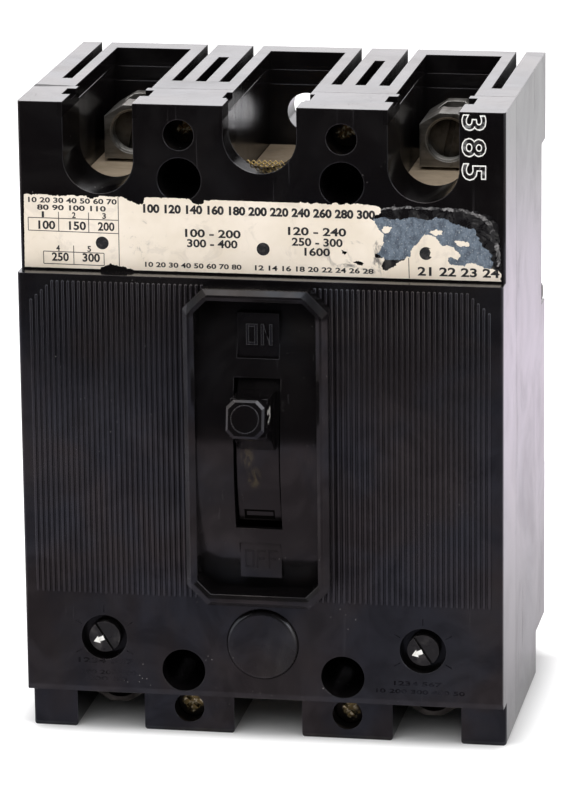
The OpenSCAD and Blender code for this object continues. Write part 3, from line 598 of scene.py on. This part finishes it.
for name in ("handle", "handle_shutter"):
    wear(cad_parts[name], lever)


def worn_metal(name, edge, blotch, clean, dirty, grain, smooth, rough, pits, bright=None):
    """Blotched metal with a fine pitted relief, where the edges may be rubbed bright."""
    made = Finish(name, Metallic=1.0)
    rubbed = made.rounded_edges(edge * mm)
    tone = made.mix(made.patches(0.4, 0.7, blotch, 4, 0.6), clean, dirty)
    if bright:
        tone = made.mix(rubbed, tone, bright)
    made.dress(tone, made.noise(grain), smooth, rough, made.noise(pits), 0.03 * mm, 0.5)
    return made


wear(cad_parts["handle_pivot_pin"], worn_metal(
    "zinc_steel", 0.15, 300, (0.42, 0.41, 0.38), (0.2, 0.18, 0.15), 600, 0.3, 0.5, 1500))


def lathed(name, profile, steps=48):
    """A ring spun about the local Y axis from (radius, depth) pairs that close."""
    shape = bmesh.new()
    wrap(shape, [[shape.verts.new((r * mm * math.cos(a), d * mm, r * mm * math.sin(a))) for r, d in profile]
                 for a in [2 * math.pi * k / steps for k in range(steps)]], ring=True)
    return new_piece(name, shape)


knob_ring = lathed("knob_ring", [(2.78, 0.05), (2.84, -0.08), (2.95, -0.115), (3.06, -0.08), (3.12, 0.05)])
knob_ring.data.transform(Matrix.Translation(at(0, pivot_deep, pivot_z)) @ lean
                         @ Matrix.Translation((0, -knob_reach * mm, 0)))
# Painted shade: a thin near-black frame on the shutter stands for the shade in a narrow groove there, with
# some grime packed in it.
groove = bmesh.new()
for x0, x1, z0, z1 in ((-3.4, 3.15, 50.85, 51.6), (-3.4, 3.15, 52.6, 53.0), (-3.4, -2.9, 51.6, 52.6),
                       (2.85, 3.15, 51.6, 52.6)):
    wrap(groove, [[groove.verts.new(at(x, pivot_deep - math.sqrt(reach ** 2 - (z - pivot_z) ** 2), z))
                   for x, z in ((x0, z0), (x1, z0), (x1, z1), (x0, z1))] for reach in (44.95, 45.03)])
shutter_groove = new_piece("shutter_groove", groove)
groove_shade_grime = Finish("packed_grime", IOR=1.3, Specular_IOR_Level=0.03)
groove_shade_grime.dress(groove_shade_grime.mix(groove_shade_grime.noise(900), (0.0006, 0.0005, 0.0005), (0.003, 0.0025, 0.002)),
            groove_shade_grime.noise(1200, 2), 0.75, 0.95, groove_shade_grime.noise(1500), 0.03 * mm, 0.6)
for piece, finish in ((knob_ring, lever), (shutter_groove, groove_shade_grime)):
    wear(piece, finish)
    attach(piece, "switch_handle")

# ---- Lugs, clamping screws and straps ----
# Box lugs of extruded aluminium, sawn off and tumbled, with a tapped hole in front for
# a slotted clamping screw. Each is held to a copper strap that comes out of the case.

thread_turns, thread_deep = 4, 3.0 * mm
lug = Finish("lug_aluminium", Metallic=1.0)
lug_edge = lug.rounded_edges(0.3 * mm)
sawn = lug.noise(160, 3, 0.6, stretch=(1, 0.15, 6))
tone = lug.mix(lug.level(sawn, 0.3, 0.7), (0.20, 0.19, 0.175), (0.31, 0.295, 0.275))
tone = lug.mix(lug.patches(0.5, 0.7, 220, 4, 0.65), tone, (0.11, 0.10, 0.082))
lug.dress(lug.mix(lug_edge, tone, (0.48, 0.47, 0.445)), lug.noise(400), 0.34, 0.55, sawn, 0.03 * mm, 0.6)
# Painted shade: the load lugs, which sit low in shadow between the feet, get a darker copy of the lug
# aluminium.
shaded_lug = Finish("sooty_aluminium", Metallic=1.0)
shaded_lug_edge = shaded_lug.rounded_edges(0.3 * mm)
lug_mottle = shaded_lug.noise(240, 4, 0.65)
tone = shaded_lug.mix(shaded_lug.level(lug_mottle, 0.35, 0.7), (0.11, 0.10, 0.09), (0.05, 0.045, 0.04))
shaded_lug.dress(shaded_lug.mix(shaded_lug_edge, tone, (0.2, 0.19, 0.17)), lug_mottle, 0.4, 0.65, lug_mottle, 0.04 * mm, 0.6)
dull_steel = worn_metal("dull_steel", 0.15, 330, (0.16, 0.145, 0.125), (0.08, 0.07, 0.06), 600, 0.35, 0.55,
                        1500, bright=(0.28, 0.26, 0.23))
copper = worn_metal("strap_copper", 0.2, 180, (0.42, 0.25, 0.16), (0.2, 0.13, 0.09), 500, 0.35, 0.6, 900)
for end, depth, height, metal in (("line", 39.5, 126.2, lug), ("load", 15.0, 8.4, shaded_lug)):
    for side, x in (("left", -pole), ("right", pole)):
        wear(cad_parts["%s_%s_lug" % (side, end)], metal)
        wear(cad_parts["%s_%s_lug_screw" % (side, end)], dull_steel)
        wear(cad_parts["%s_%s_strap" % (side, end)], copper)
        crest = lathed("crest", [(4.92, -0.3), (4.42, 0.0), (4.92, 0.3)], 40)
        name = "%s_%s_lug_thread" % (side, end)
        tree = Tree(name, Crest=crest, Turns=thread_turns, Pitch=thread_deep / thread_turns,
                    Mouth=tuple(at(x, depth, height)), Material=metal.material)
        given = tree.given
        line = tree.line(given["Turns"], given["Mouth"], tree.vector(y=given["Pitch"]))
        rings = tree.build(name, line, given["Crest"])
        bpy.data.objects.remove(crest)
        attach(rings, "case")

# ---- Fibre plates ----
# Cream vulcanised fibre board, punched to shape, which lines the floor of each well
# and closes the case round the straps. The middle ones are sooty.

fibre = Finish("fibre_board", IOR=1.45)
strands = fibre.noise(140, 5, 0.7, stretch=(1, 2.5, 1), warp=0.6)
tone = fibre.mix(fibre.level(strands, 0.35, 0.68), (0.47, 0.37, 0.26), (0.57, 0.455, 0.33))
tone = fibre.mix(fibre.patches(0.56, 0.75, 90, 4), tone, (0.28, 0.22, 0.16))
middle = fibre.level(fibre.size(fibre.axes()[0]), 12, 10, 0.0, 0.7)
fibre.dress(fibre.mix(middle, tone, (0.20, 0.15, 0.10)), fibre.noise(500), 0.55, 0.8,
            fibre.plus(strands, fibre.noise(1500, 4)), 0.06 * mm, 0.6)
for end in ("line", "load"):
    for side in ("left", "centre", "right"):
        wear(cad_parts["%s_%s_fibre_plate" % (side, end)], fibre)

# ---- Mesh strip ----
# A strip of fine expanded brass, slit and stretched into diamonds, that stands behind
# the front wall of the centre well and lets arc gas out of the case.

cell_wide, cell_tall, strand, tilt = 1.2 * mm, 1.0 * mm, 0.16 * mm, 0.14 * mm
brass = Finish("aged_brass", Metallic=1.0)
brass.rounded_edges(0.12 * mm)
tone = brass.mix(brass.patches(0.42, 0.68, 500, 4, 0.65), (1.0, 0.74, 0.30), (0.5, 0.32, 0.10))
tone = brass.mix(brass.patches(0.62, 0.7, 900, 3, shift=(4, 2, 1)), tone, (0.06, 0.045, 0.03))
brass.dress(tone, brass.noise(900), 0.28, 0.55, brass.noise(1600), 0.03 * mm, 0.5)

# Rows of diamond cells, every second row moved by half a cell.
low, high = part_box("vent_mesh")
shape = bmesh.new()
wrap(shape, [[shape.verts.new((u * a * cell_wide / 2, side * strand + v * tilt, v * b * cell_tall / 2))
              for u, v in ((1, 0), (0.12, 0.94), (-0.12, 0.94), (-1, 0), (-0.12, -0.94), (0.12, -0.94))]
             for a, b, side in ((1.05, 1.05, 1), (1.05, 1.05, -1), (0.65, 0.59, -1), (0.65, 0.59, 1))],
     ring=True)
diamond = new_piece("diamond", shape)
columns = int((high[0] - low[0]) / cell_wide) - 1
rows = int((high[2] - low[2]) / (cell_tall / 2)) - 1
corner = ((low[0] + high[0]) / 2 - columns * cell_wide / 2 + cell_wide / 4,
          (low[1] + high[1]) / 2, low[2] + cell_tall / 2)
tree = Tree("brass_mesh", Diamond=diamond, Columns=columns, Rows=rows, Long_way=cell_wide,
            Half_short_way=cell_tall / 2, Corner=corner, Material=brass.material)
given = tree.given
index = tree.step("GeometryNodeInputIndex")[0]
row = tree.math("FLOOR", tree.math("DIVIDE", tree.plus(index, 0.5), given["Columns"]), 0)
column = tree.less(index, tree.times(row, given["Columns"]))
odd = tree.times(tree.math("MODULO", row, 2.0), 0.5)
offset = tree.vector(tree.times(tree.plus(column, odd), given["Long_way"]), 0.0,
                     tree.times(row, given["Half_short_way"]))
points = tree.line(tree.times(given["Columns"], given["Rows"]), given["Corner"])
points = tree.step("GeometryNodeSetPosition", Geometry=points, Offset=offset)[0]
mesh_strip = tree.build("brass_mesh", points, given["Diamond"])
bpy.data.objects.remove(diamond)
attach(mesh_strip, "case")
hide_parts("vent_mesh")

# ---- Cover screws ----
# Four cross recess screws of tarnished brass at the bottom of deep holes. They clamp
# the cover to the base.

for end, gold, tarnished in (("upper", (0.80, 0.46, 0.15), (0.013, 0.009, 0.006)),
                             ("lower", (1.0, 0.74, 0.28), (0.012, 0.009, 0.006))):
    for side in ("left", "right"):
        name = "%s_%s_cover_screw" % (end, side)
        low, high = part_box(name)
        head = Finish(name + "_brass", Metallic=0.75)
        edges = head.rounded_edges(0.25 * mm)
        out = head.near(((low[0] + high[0]) / 2, 0, (low[2] + high[2]) / 2), (3.2 * mm, 1, 3.2 * mm))
        out = head.plus(out, head.level(head.noise(420, 4, 0.65), 0.3, 0.7, -0.25, 0.25))
        clean = head.level(out, 0.66, 0.38)
        # Painted highlights: small bright glints and bright gold edges on the clean middle of the head, round
        # the cross.
        glint = head.patches(0.53, 0.60, 1300, 2, 0.5, shift=(4, 2, 1))
        tone = head.mix(clean, tarnished, [c * 0.28 for c in gold])
        tone = head.mix(head.times(glint, clean), tone, (1.0, 0.90, 0.62))
        head.dress(head.mix(head.times(edges, clean), tone, gold), head.noise(700), 0.3, 0.5,
                   head.noise(1500), 0.03 * mm, 0.5)
        wear(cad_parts[name], head)

# ---- Label ----
# Aged cream paper glued across the upper front, printed with a settings table and
# plain numbers. It is torn at the mounting holes, and on the right the face of the
# paper is gone, which leaves its grey back and a dark smear of glue.

paper = Finish("aged_paper", IOR=1.45)
fibres = paper.noise(700, 4, 0.6)
cream = paper.mix(paper.patches(0.35, 0.7, 60, 4, 0.6), (0.93, 0.83, 0.71), (0.83, 0.73, 0.60))
soiled = paper.patches(0.52, 0.66, 190, 5, 0.7, warp=0.7)
spots = [paper.level(paper.near(at(x, 3.8, z), radii), 1.3, inner) for x, z, radii, inner in (
    (21.5, 108.5, (0.0075, 0.02, 0.0045), 0.6), (-27, 111.5, (0.003, 0.02, 0.007), 0.5))]
stained = paper.times(soiled, paper.most(*spots, 0.14))
paper.dress(paper.mix(stained, cream, (0.22, 0.20, 0.18)), fibres, 0.55, 0.8,
            paper.plus(fibres, paper.times(soiled, 1.5)), 0.03 * mm, 0.5)
grey = Finish("grey_paper_back", IOR=1.45)
pulled = grey.noise(750, 6, 0.8, stretch=(1, 1, 0.7))
tone = grey.mix(grey.level(pulled, 0.38, 0.62), (0.07, 0.09, 0.12), (0.17, 0.21, 0.26))
tone = grey.mix(grey.patches(0.6, 0.68, 2600, 3, 0.6), tone, (0.42, 0.44, 0.45))
grey.dress(tone, pulled, 0.7, 0.95, pulled, 0.12 * mm, 0.9)
glue = Finish("glue_smear", IOR=1.5)
streak = glue.noise(260, 5, 0.75, warp=1.5)
glue.set(Base_Color=glue.mix(glue.level(streak, 0.52, 0.72), (0.005, 0.0045, 0.005), (0.05, 0.047, 0.045)),
         Roughness=glue.level(streak, 0.4, 0.65, 0.16, 0.7))
glue.relief(streak, 0.05 * mm, 0.6)
haze = Finish("dried_glue", IOR=1.5)
crust = haze.noise(420, 5, 0.75, warp=1.2)
haze.set(Base_Color=haze.mix(haze.level(crust, 0.42, 0.62), (0.02, 0.019, 0.02), (0.24, 0.23, 0.23)),
         Roughness=haze.level(crust, 0.4, 0.65, 0.4, 0.85))
haze.relief(crust, 0.06 * mm, 0.8)
ink = Finish("print_ink", IOR=1.45)
ink.dress(ink.mix(ink.patches(0.5, 0.72, 1400), (0.012, 0.012, 0.014), (0.055, 0.05, 0.05)),
          ink.noise(900, 2), 0.5, 0.8, ink.noise(1500, 2), 0.01 * mm, 0.3)


def ragged_loop(outline, ragged, seed):
    """Cuts an outline into short steps and pushes them in and out like torn paper."""
    points = []
    for (x0, z0), (x1, z1) in zip(outline, outline[1:] + outline[:1]):
        length = math.hypot(x1 - x0, z1 - z0)
        tear = ragged * (0.12 if length > 12 else 1)
        steps = max(1, int(length / 0.16))
        for k in range(steps):
            x, z = x0 + (x1 - x0) * k / steps, z0 + (z1 - z0) * k / steps
            off = tear * (0.42 * noise.noise((x, z, seed)) + 0.28 * noise.noise((x * 3.3, z * 3.3, seed)))
            points.append((x + (z1 - z0) / length * off, z - (x1 - x0) / length * off))
    return [(max(-51.4, min(51.4, x)), max(103.7, min(119.7, z))) for x, z in points]


def torn_sheet(name, outline, front, back, ragged, seed, holes=()):
    """A thin sheet with ragged edges: (x, z) corners in millimetres, counted round."""
    sheet = bmesh.new()
    edges = []
    for loop in [outline] + list(holes):
        verts = [sheet.verts.new(at(x, front, z)) for x, z in ragged_loop(loop, ragged, seed)]
        edges += [sheet.edges.new((verts[k], verts[(k + 1) % len(verts)])) for k in range(len(verts))]
    bmesh.ops.triangle_fill(sheet, edges=edges, use_beauty=True)
    face_set = sheet.faces[:]
    if sum(f.normal.y * f.calc_area() for f in face_set) > 0:
        bmesh.ops.reverse_faces(sheet, faces=face_set)
    grown = bmesh.ops.extrude_face_region(sheet, geom=face_set)
    moved = [g for g in grown["geom"] if isinstance(g, bmesh.types.BMVert)]
    bmesh.ops.translate(sheet, verts=moved, vec=Vector((0, (back - front) * mm, 0)))
    return new_piece(name, sheet)


label_edge = [
    (-51.2, 119.7), (-46.0, 119.7), (-45.8, 119.6), (-37.7, 119.6), (-37.3, 119.2), (-36.1, 119.1),
    (-34.5, 119.6), (-30.6, 119.6), (-29.4, 119.3), (-27.8, 118.7), (-26.3, 118.2), (-25.5, 118.3),
    (-24.9, 119.3), (-24.3, 119.7), (-15.2, 119.7), (-14.6, 118.9), (-13.3, 118.4), (-12.3, 118.9),
    (-12.1, 119.3), (-10.5, 119.5), (8.6, 119.4), (12.1, 119.4), (15.9, 119.5), (20.7, 119.4), (24.6, 119.2),
    (25.4, 119.0), (25.8, 118.6), (25.8, 117.9), (25.4, 117.4), (24.6, 117.1), (24.1, 116.4), (24.6, 115.8),
    (25.3, 114.2), (26.1, 113.5), (26.4, 112.6), (26.4, 111.4), (26.1, 110.6), (25.5, 109.9), (25.1, 109.1),
    (24.5, 108.5), (24.7, 108.0), (25.5, 107.8), (26.3, 108.2), (26.4, 107.5), (26.3, 106.7), (25.8, 106.1),
    (26.4, 105.3), (27.7, 105.6), (28.8, 106.5), (29.9, 107.5), (30.9, 108.0), (32.0, 108.4), (32.3, 109.3),
    (32.7, 110.5), (33.5, 111.3), (34.1, 112.3), (35.1, 113.5), (36.0, 113.4), (36.8, 113.1), (37.6, 112.8),
    (38.3, 111.8), (39.2, 110.9), (40.5, 111.2), (41.8, 110.3), (42.6, 109.0), (42.1, 108.0), (41.1, 108.6),
    (40.3, 108.5), (40.0, 107.6), (41.1, 107.0), (43.0, 106.8), (44.9, 107.5), (45.9, 107.7), (46.8, 107.0),
    (47.8, 106.4), (49.1, 106.6), (50.0, 106.3), (51.4, 105.4), (51.4, 103.7), (-27.3, 103.7), (-28.1, 103.9),
    (-29.7, 104.5), (-32.9, 104.7), (-34.5, 104.1), (-34.9, 103.7), (-51.4, 103.7)]
label_holes = [
    [(19.8, 107.0), (21.0, 107.4), (22.2, 106.8), (21.9, 106.3), (20.6, 106.4)],
    [(17.3, 109.5), (18.4, 109.2), (18.2, 108.6), (17.4, 108.7)]]
grey_edge = [
    (24.2, 116.1), (25.2, 116.6), (27.1, 116.8), (27.8, 116.5), (29.7, 116.5), (31.9, 116.8), (33.2, 117.0),
    (34.1, 116.7), (36.0, 116.6), (37.6, 116.9), (39.2, 117.0), (40.2, 116.7), (40.8, 115.9), (42.1, 115.5),
    (43.7, 115.2), (45.3, 114.8), (46.1, 114.0), (46.9, 112.1), (47.5, 111.1), (48.4, 110.5), (49.4, 109.4),
    (49.1, 108.6), (49.6, 107.6), (49.2, 106.3), (47.8, 105.8), (43.7, 106.1), (40.2, 106.7), (37.3, 106.9),
    (33.5, 107.4), (32.0, 108.2), (30.9, 107.9), (29.6, 107.6), (27.7, 107.6), (26.4, 107.8), (25.1, 108.8),
    (24.5, 109.8), (25.2, 111.7), (25.2, 113.4), (24.2, 114.9)]
glue_edge = [
    (25.8, 118.3), (29.7, 119.2), (35.9, 119.4), (41.3, 119.1), (45.5, 118.8), (48.6, 118.2), (50.2, 116.3),
    (50.9, 112.7), (51.2, 109.2), (51.4, 106.0), (51.4, 103.8), (26.0, 103.8), (25.0, 108.0), (25.5, 113.0)]
ridge = [(26.5, 118.9), (32.6, 119.4), (39.9, 119.2), (43.1, 119.1), (45.6, 118.5), (48.1, 117.6),
         (49.6, 115.7), (50.0, 112.8), (51.1, 110.6), (51.3, 107.4)]
haze_edge = ridge + [(x - 0.7, z - 0.5) for x, z in reversed(ridge)]
scraps = [[(25.8, 114.3), (26.3, 114.8), (27.4, 115.0), (28.2, 114.7), (27.7, 113.8), (27.1, 113.3),
           (26.3, 113.5)],
          [(35.9, 113.8), (36.8, 114.2), (37.6, 114.5), (38.7, 114.1), (38.9, 113.4), (37.3, 113.2)],
          [(41.4, 112.1), (43.0, 112.3), (44.6, 111.8), (44.5, 111.0), (42.7, 111.1), (41.8, 111.3)]]
bite = [(36.0, 110.3), (37.0, 110.1), (37.3, 109.3), (36.8, 108.5), (36.2, 108.7), (36.5, 109.5)]
sheets = [(torn_sheet("label_paper", label_edge, 3.66, 3.79, 1, 3, label_holes), paper),
          (torn_sheet("label_grey_back", grey_edge, 3.74, 3.79, 1, 7), grey),
          (torn_sheet("label_glue", glue_edge, 3.775, 3.8, 1.2, 9), glue),
          (torn_sheet("label_dried_glue", haze_edge, 3.765, 3.8, 0.9, 10), haze),
          (torn_sheet("label_bite", bite, 3.63, 3.66, 0.5, 11), paper)]
sheets += [(torn_sheet("label_scrap_%d" % n, edge, 3.7, 3.745, 0.8, 12 + n), paper)
           for n, edge in enumerate(scraps, 1)]
for sheet, finish in sheets:
    wear(sheet, finish)
    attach(sheet, "case")
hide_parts("rating_label")

printed = []
for name, text, tall, x0, x1, z in (
        ("heading_numbers", "10 20 30 40 50 60 70", 1.2, -50.3, -31.0, 117.9),
        ("heading_numbers_two", "80 90 100 110", 1.2, -48.4, -33.4, 116.3),
        ("column_one", "1", 1.3, -47.4, -46.9, 114.7), ("column_two", "2", 1.3, -40.8, -40.0, 114.7),
        ("column_three", "3", 1.3, -34.2, -33.4, 114.7), ("column_four", "4", 1.3, -44.4, -43.6, 107.4),
        ("column_five", "5", 1.3, -37.6, -36.8, 107.4),
        ("setting_one", "100", 1.9, -48.2, -44.5, 112.1), ("setting_two", "150", 1.9, -41.5, -37.8, 112.1),
        ("setting_three", "200", 1.9, -35.2, -31.6, 112.1), ("setting_four", "250", 1.9, -45.4, -41.7, 105.2),
        ("setting_five", "300", 1.9, -38.7, -34.9, 105.2),
        ("scale_numbers", "100 120 140 160 180 200 220 240 260 280 300", 2.0, -25.3, 24.6, 116.3),
        ("left_pair", "100 - 200", 1.8, -16.3, -4.3, 111.3),
        ("left_pair_two", "300 - 400", 1.8, -15.9, -5.0, 109.1),
        ("right_pair", "120 - 240", 1.8, 5.9, 18.4, 112.4),
        ("right_pair_two", "250 - 300", 1.8, 6.7, 17.6, 110.1),
        ("right_single", "1600", 1.8, 9.4, 14.9, 108.0),
        ("foot_numbers", "10 20 30 40 50 60 70 80", 1.15, -25.1, -4.2, 104.5),
        ("foot_numbers_two", "12 14 16 18 20 22 24 26 28", 1.15, -1.3, 24.2, 104.5),
        ("corner_numbers", "21 22 23 24", 1.95, 33.6, 51.0, 104.45)):
    printed.append(lettering("print_" + name, text, (x1 - x0) * mm, tall * mm,
                             at((x0 + x1) / 2, 3.655, z + tall / 2), 0.02 * mm,
                             bold=0.045 if name == "scale_numbers" else 0.028))
rules = bmesh.new()
rule_half, spot_radius = 0.08, 1.4

for x0, z0, x1, z1 in (
        (-50.4, 114.6, -30.8, 114.5), (-50.4, 111.8, -30.8, 111.6), (-50.4, 114.6, -50.4, 111.8),
        (-43.75, 116.0, -43.75, 111.7), (-37.2, 116.0, -37.2, 111.7), (-30.7, 119.6, -30.7, 104.3),
        (-47.2, 107.3, -34.0, 107.2), (-47.2, 104.6, -34.0, 104.5), (-47.2, 107.3, -47.2, 104.6),
        (-34.0, 107.2, -34.0, 104.5), (-40.6, 108.7, -40.6, 104.5), (31.7, 108.2, 31.8, 103.8)):
    aside = Vector((z1 - z0, x0 - x1)).normalized() * rule_half
    rules.faces.new([rules.verts.new(at(x + s * aside.x, 3.648, z + s * aside.y))
                     for x, z, s in ((x0, z0, -1), (x1, z1, -1), (x1, z1, 1), (x0, z0, 1))])
for x, z in ((-34.34, 109.45), (0.52, 109.17), (35.4, 109.3)):
    rules.faces.new([rules.verts.new(at(x + spot_radius * math.cos(a), 3.645, z + spot_radius * math.sin(a)))
                     for a in [2 * math.pi * k / 40 for k in range(40)]])
for face in rules.faces:
    face.normal_update()
    if face.normal.y > 0:
        face.normal_flip()
for piece in printed + [new_piece("print_rules", rules, closed=False)]:
    wear(piece, ink)
    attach(piece, "case")

# ---- Stamped numbers ----
# A three figure number on the upper right corner, stamped on its side in white ink so
# that the outlines of the figures took and their insides are only patchy.

stamp_ink = phenolic("stamp_ink", 0.3, (0.010, 0.008, 0.008), dust=0.5, edge=0)
took = stamp_ink.times(stamp_ink.patches(0.5, 0.64, 420, 4, 0.65, warp=1), 0.6)
stamp_ink.set(Base_Color=stamp_ink.mix(took, stamp_ink.body, (0.36, 0.36, 0.36)))
for name, finish, depth, outline in (("stamped_fill", stamp_ink, 3.78, 0),
                                     ("stamped_outline", paint, 3.765, 0.018)):
    stamp = lettering(name, "385", 14.2 * mm, 5.3 * mm, at(45.6, depth, 132.3), 0.03 * mm, turn=90,
                      bold=0.02, outline=outline, spacing=1.3)
    wear(stamp, finish)
    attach(stamp, "case")

# ---- Rear seal ----
# A lump of dark sealing compound pressed by hand into the step at the rear right edge.
# It reaches out almost to the side face and has a few shallow dents.

seal_low, seal_high = (Vector(v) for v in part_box("rear_seal"))
seal_high.x = 52.29 * mm
lump = bmesh.new()
bmesh.ops.create_icosphere(lump, subdivisions=4, radius=1)
chance = random.Random(11)
dents = [(Vector((chance.uniform(-1, 1), chance.uniform(-1, 1), chance.uniform(-1, 1))).normalized(),
          chance.uniform(-0.10, 0.02)) for _ in range(14)]
for v in lump.verts:
    n = v.co.normalized()
    v.co = Vector([math.copysign(abs(c) ** 0.42, c) for c in n])
    v.co *= 1 + sum(d * max(0.0, n.dot(way)) ** 6 for way, d in dents)
reach = [max(abs(v.co[k]) for v in lump.verts) for k in range(3)]
for v in lump.verts:
    v.co = Vector([(low + high) / 2 + c / r * (high - low) / 2
                   for low, high, c, r in zip(seal_low, seal_high, v.co, reach)])
seal = new_piece("seal_lump", lump, smooth=3, closed=False)
compound = Finish("sealing_compound", IOR=1.5)
knead = compound.noise(420, 4, 0.6)
compound.dress(compound.mix(compound.level(knead, 0.35, 0.7), (0.02, 0.017, 0.015), (0.06, 0.05, 0.042)),
               knead, 0.4, 0.7, knead, 0.15 * mm, 0.6)
wear(seal, compound)
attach(seal, "case")
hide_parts("rear_seal")

# ---- Floor, cards and light ----
# A white sweep under soft lamps. The polished case mirrors the room, so a grey card
# lies on the floor before it and a pale one to its left, and a black one stands upright
# at the far end of the grey one.

scene = bpy.context.scene
scene.view_settings.view_transform = "Standard"
card_z, card_front = 0.0006, -1.0


def sheet_object(name, corners):
    """A flat sheet of the studio, which isn't part of the breaker."""
    mesh = bpy.data.meshes.new(name)
    mesh.from_pydata(corners, [], [range(len(corners))])
    made = placed(name, mesh)
    return made


sweep = Finish("floor_paper", Roughness=0.9, Specular_IOR_Level=0)

# The sweep glows a little for the camera and for mirror rays, but not under the breaker.
spot = sweep.step("ShaderNodeSeparateXYZ", Vector=sweep.place)
beside = [sweep.most(sweep.less(sweep.size(sweep.less(spot[k], middle)), half), 0)
          for k, middle, half in ((0, 0.0, 0.050), (1, 0.0117, 0.030))]
rays = sweep.step("ShaderNodeLightPath")
mirrored = sweep.most(rays["Is Glossy Ray"], rays["Is Transmission Ray"])
reach = sweep.near((0, 0, 0), (1, 1, 1))
# Painted reflection: for mirror rays the sweep glows lavender, rising to its strongest about 0.3 m from the
# breaker and fading out by about 0.66 m.
mirror_glow = sweep.times(sweep.level(reach, 0.02, 0.32, 0.06, 0.48), sweep.level(reach, 0.34, 0.66, 1.0, 0.0))
glow = sweep.plus(sweep.times(rays["Is Camera Ray"], 0.55), sweep.times(mirrored, mirror_glow))
sweep.set(Base_Color=sweep.mix(sweep.noise(3, 2), (0.86, 0.86, 0.86), (0.89, 0.89, 0.89)),
          Emission_Color=sweep.mix(rays["Is Camera Ray"], (0.92, 0.66, 1.0), (1, 1, 1)),
          Emission_Strength=sweep.times(glow, sweep.level(sweep.plus(*beside), 0.0, 0.010)))
wear(sheet_object("floor", [(-9, -9, 0), (9, -9, 0), (9, 9, 0), (-9, 9, 0)]), sweep)


def card(name, corners, near, far, start=0, end=1, axis=2):
    """A glowing card that only mirror rays see, a painted reflection, shaded from near to far along one axis.
    """
    made = sheet_object(name, corners)
    finish = Finish(name)
    along = finish.step("ShaderNodeSeparateXYZ", Vector=finish.place)[axis]
    shine = finish.step("ShaderNodeEmission", Color=finish.mix(finish.level(along, start, end), near, far))[0]
    finish.put(finish.tree.nodes["Material Output"].inputs["Surface"], shine)
    wear(made, finish)
    for kind in ("camera", "diffuse", "transmission", "volume_scatter", "shadow"):
        setattr(made, "visible_" + kind, False)


black, pale = (0.02, 0.018, 0.02), (0.9, 0.86, 0.93)
card("floor_card", [(x, y, card_z) for x, y in (
    (-0.75, card_front), (0.6, card_front), (0.6, -0.021), (-0.06, -0.021), (-0.06, 0.25), (-0.13, 0.25),
    (-0.13, -0.1), (-0.75, -0.1))], (0.37, 0.345, 0.395), black, -0.345, -0.368, 1)
card("side_card", [(x, y, card_z) for x, y in ((-0.75, -0.1), (-0.13, -0.1), (-0.13, 0.25), (-0.75, 0.25))],
     pale, pale)
card("black_card", [(x, card_front, z) for x, z in ((-0.85, -0.1), (0.6, -0.1), (0.6, 2.4), (-0.85, 2.4))],
     black, black)
for name, place, target, width, height, power, colour in (
        ("key_softbox", (-0.3, -0.9, 1.5), (0, 0, 0.06), 2.2, 2.2, 27, (1, 1, 1)),
        ("fill_softbox", (1.1, -0.5, 0.9), (0, 0, 0.06), 0.8, 0.8, 5, (1, 1, 1)),
        ("back_softbox", (-0.1, 1.25, 0.75), (0, 0, 0.1), 2.6, 1.5, 11, (1.0, 0.96, 1.0))):
    data = bpy.data.lights.new(name, "AREA")
    data.shape, data.size, data.size_y = "RECTANGLE", width, height
    data.energy, data.color = power, colour
    lamp = placed(name, data)
    lamp.location = place
    lamp.rotation_euler = (Vector(target) - Vector(place)).to_track_quat("-Z", "Y").to_euler()
    lamp.visible_camera = False
world = bpy.data.worlds.new("studio")
scene.world = world
world.use_nodes = True
sky = Steps(world.node_tree)
rays = sky.step("ShaderNodeLightPath")
seen = sky.most(rays["Is Camera Ray"], rays["Is Glossy Ray"], rays["Is Transmission Ray"])
backdrop = world.node_tree.nodes["Background"].inputs
backdrop["Color"].default_value = (1, 1, 1, 1)
sky.put(backdrop["Strength"], sky.step("ShaderNodeMapRange", Value=seen, To_Min=0.4)[0])
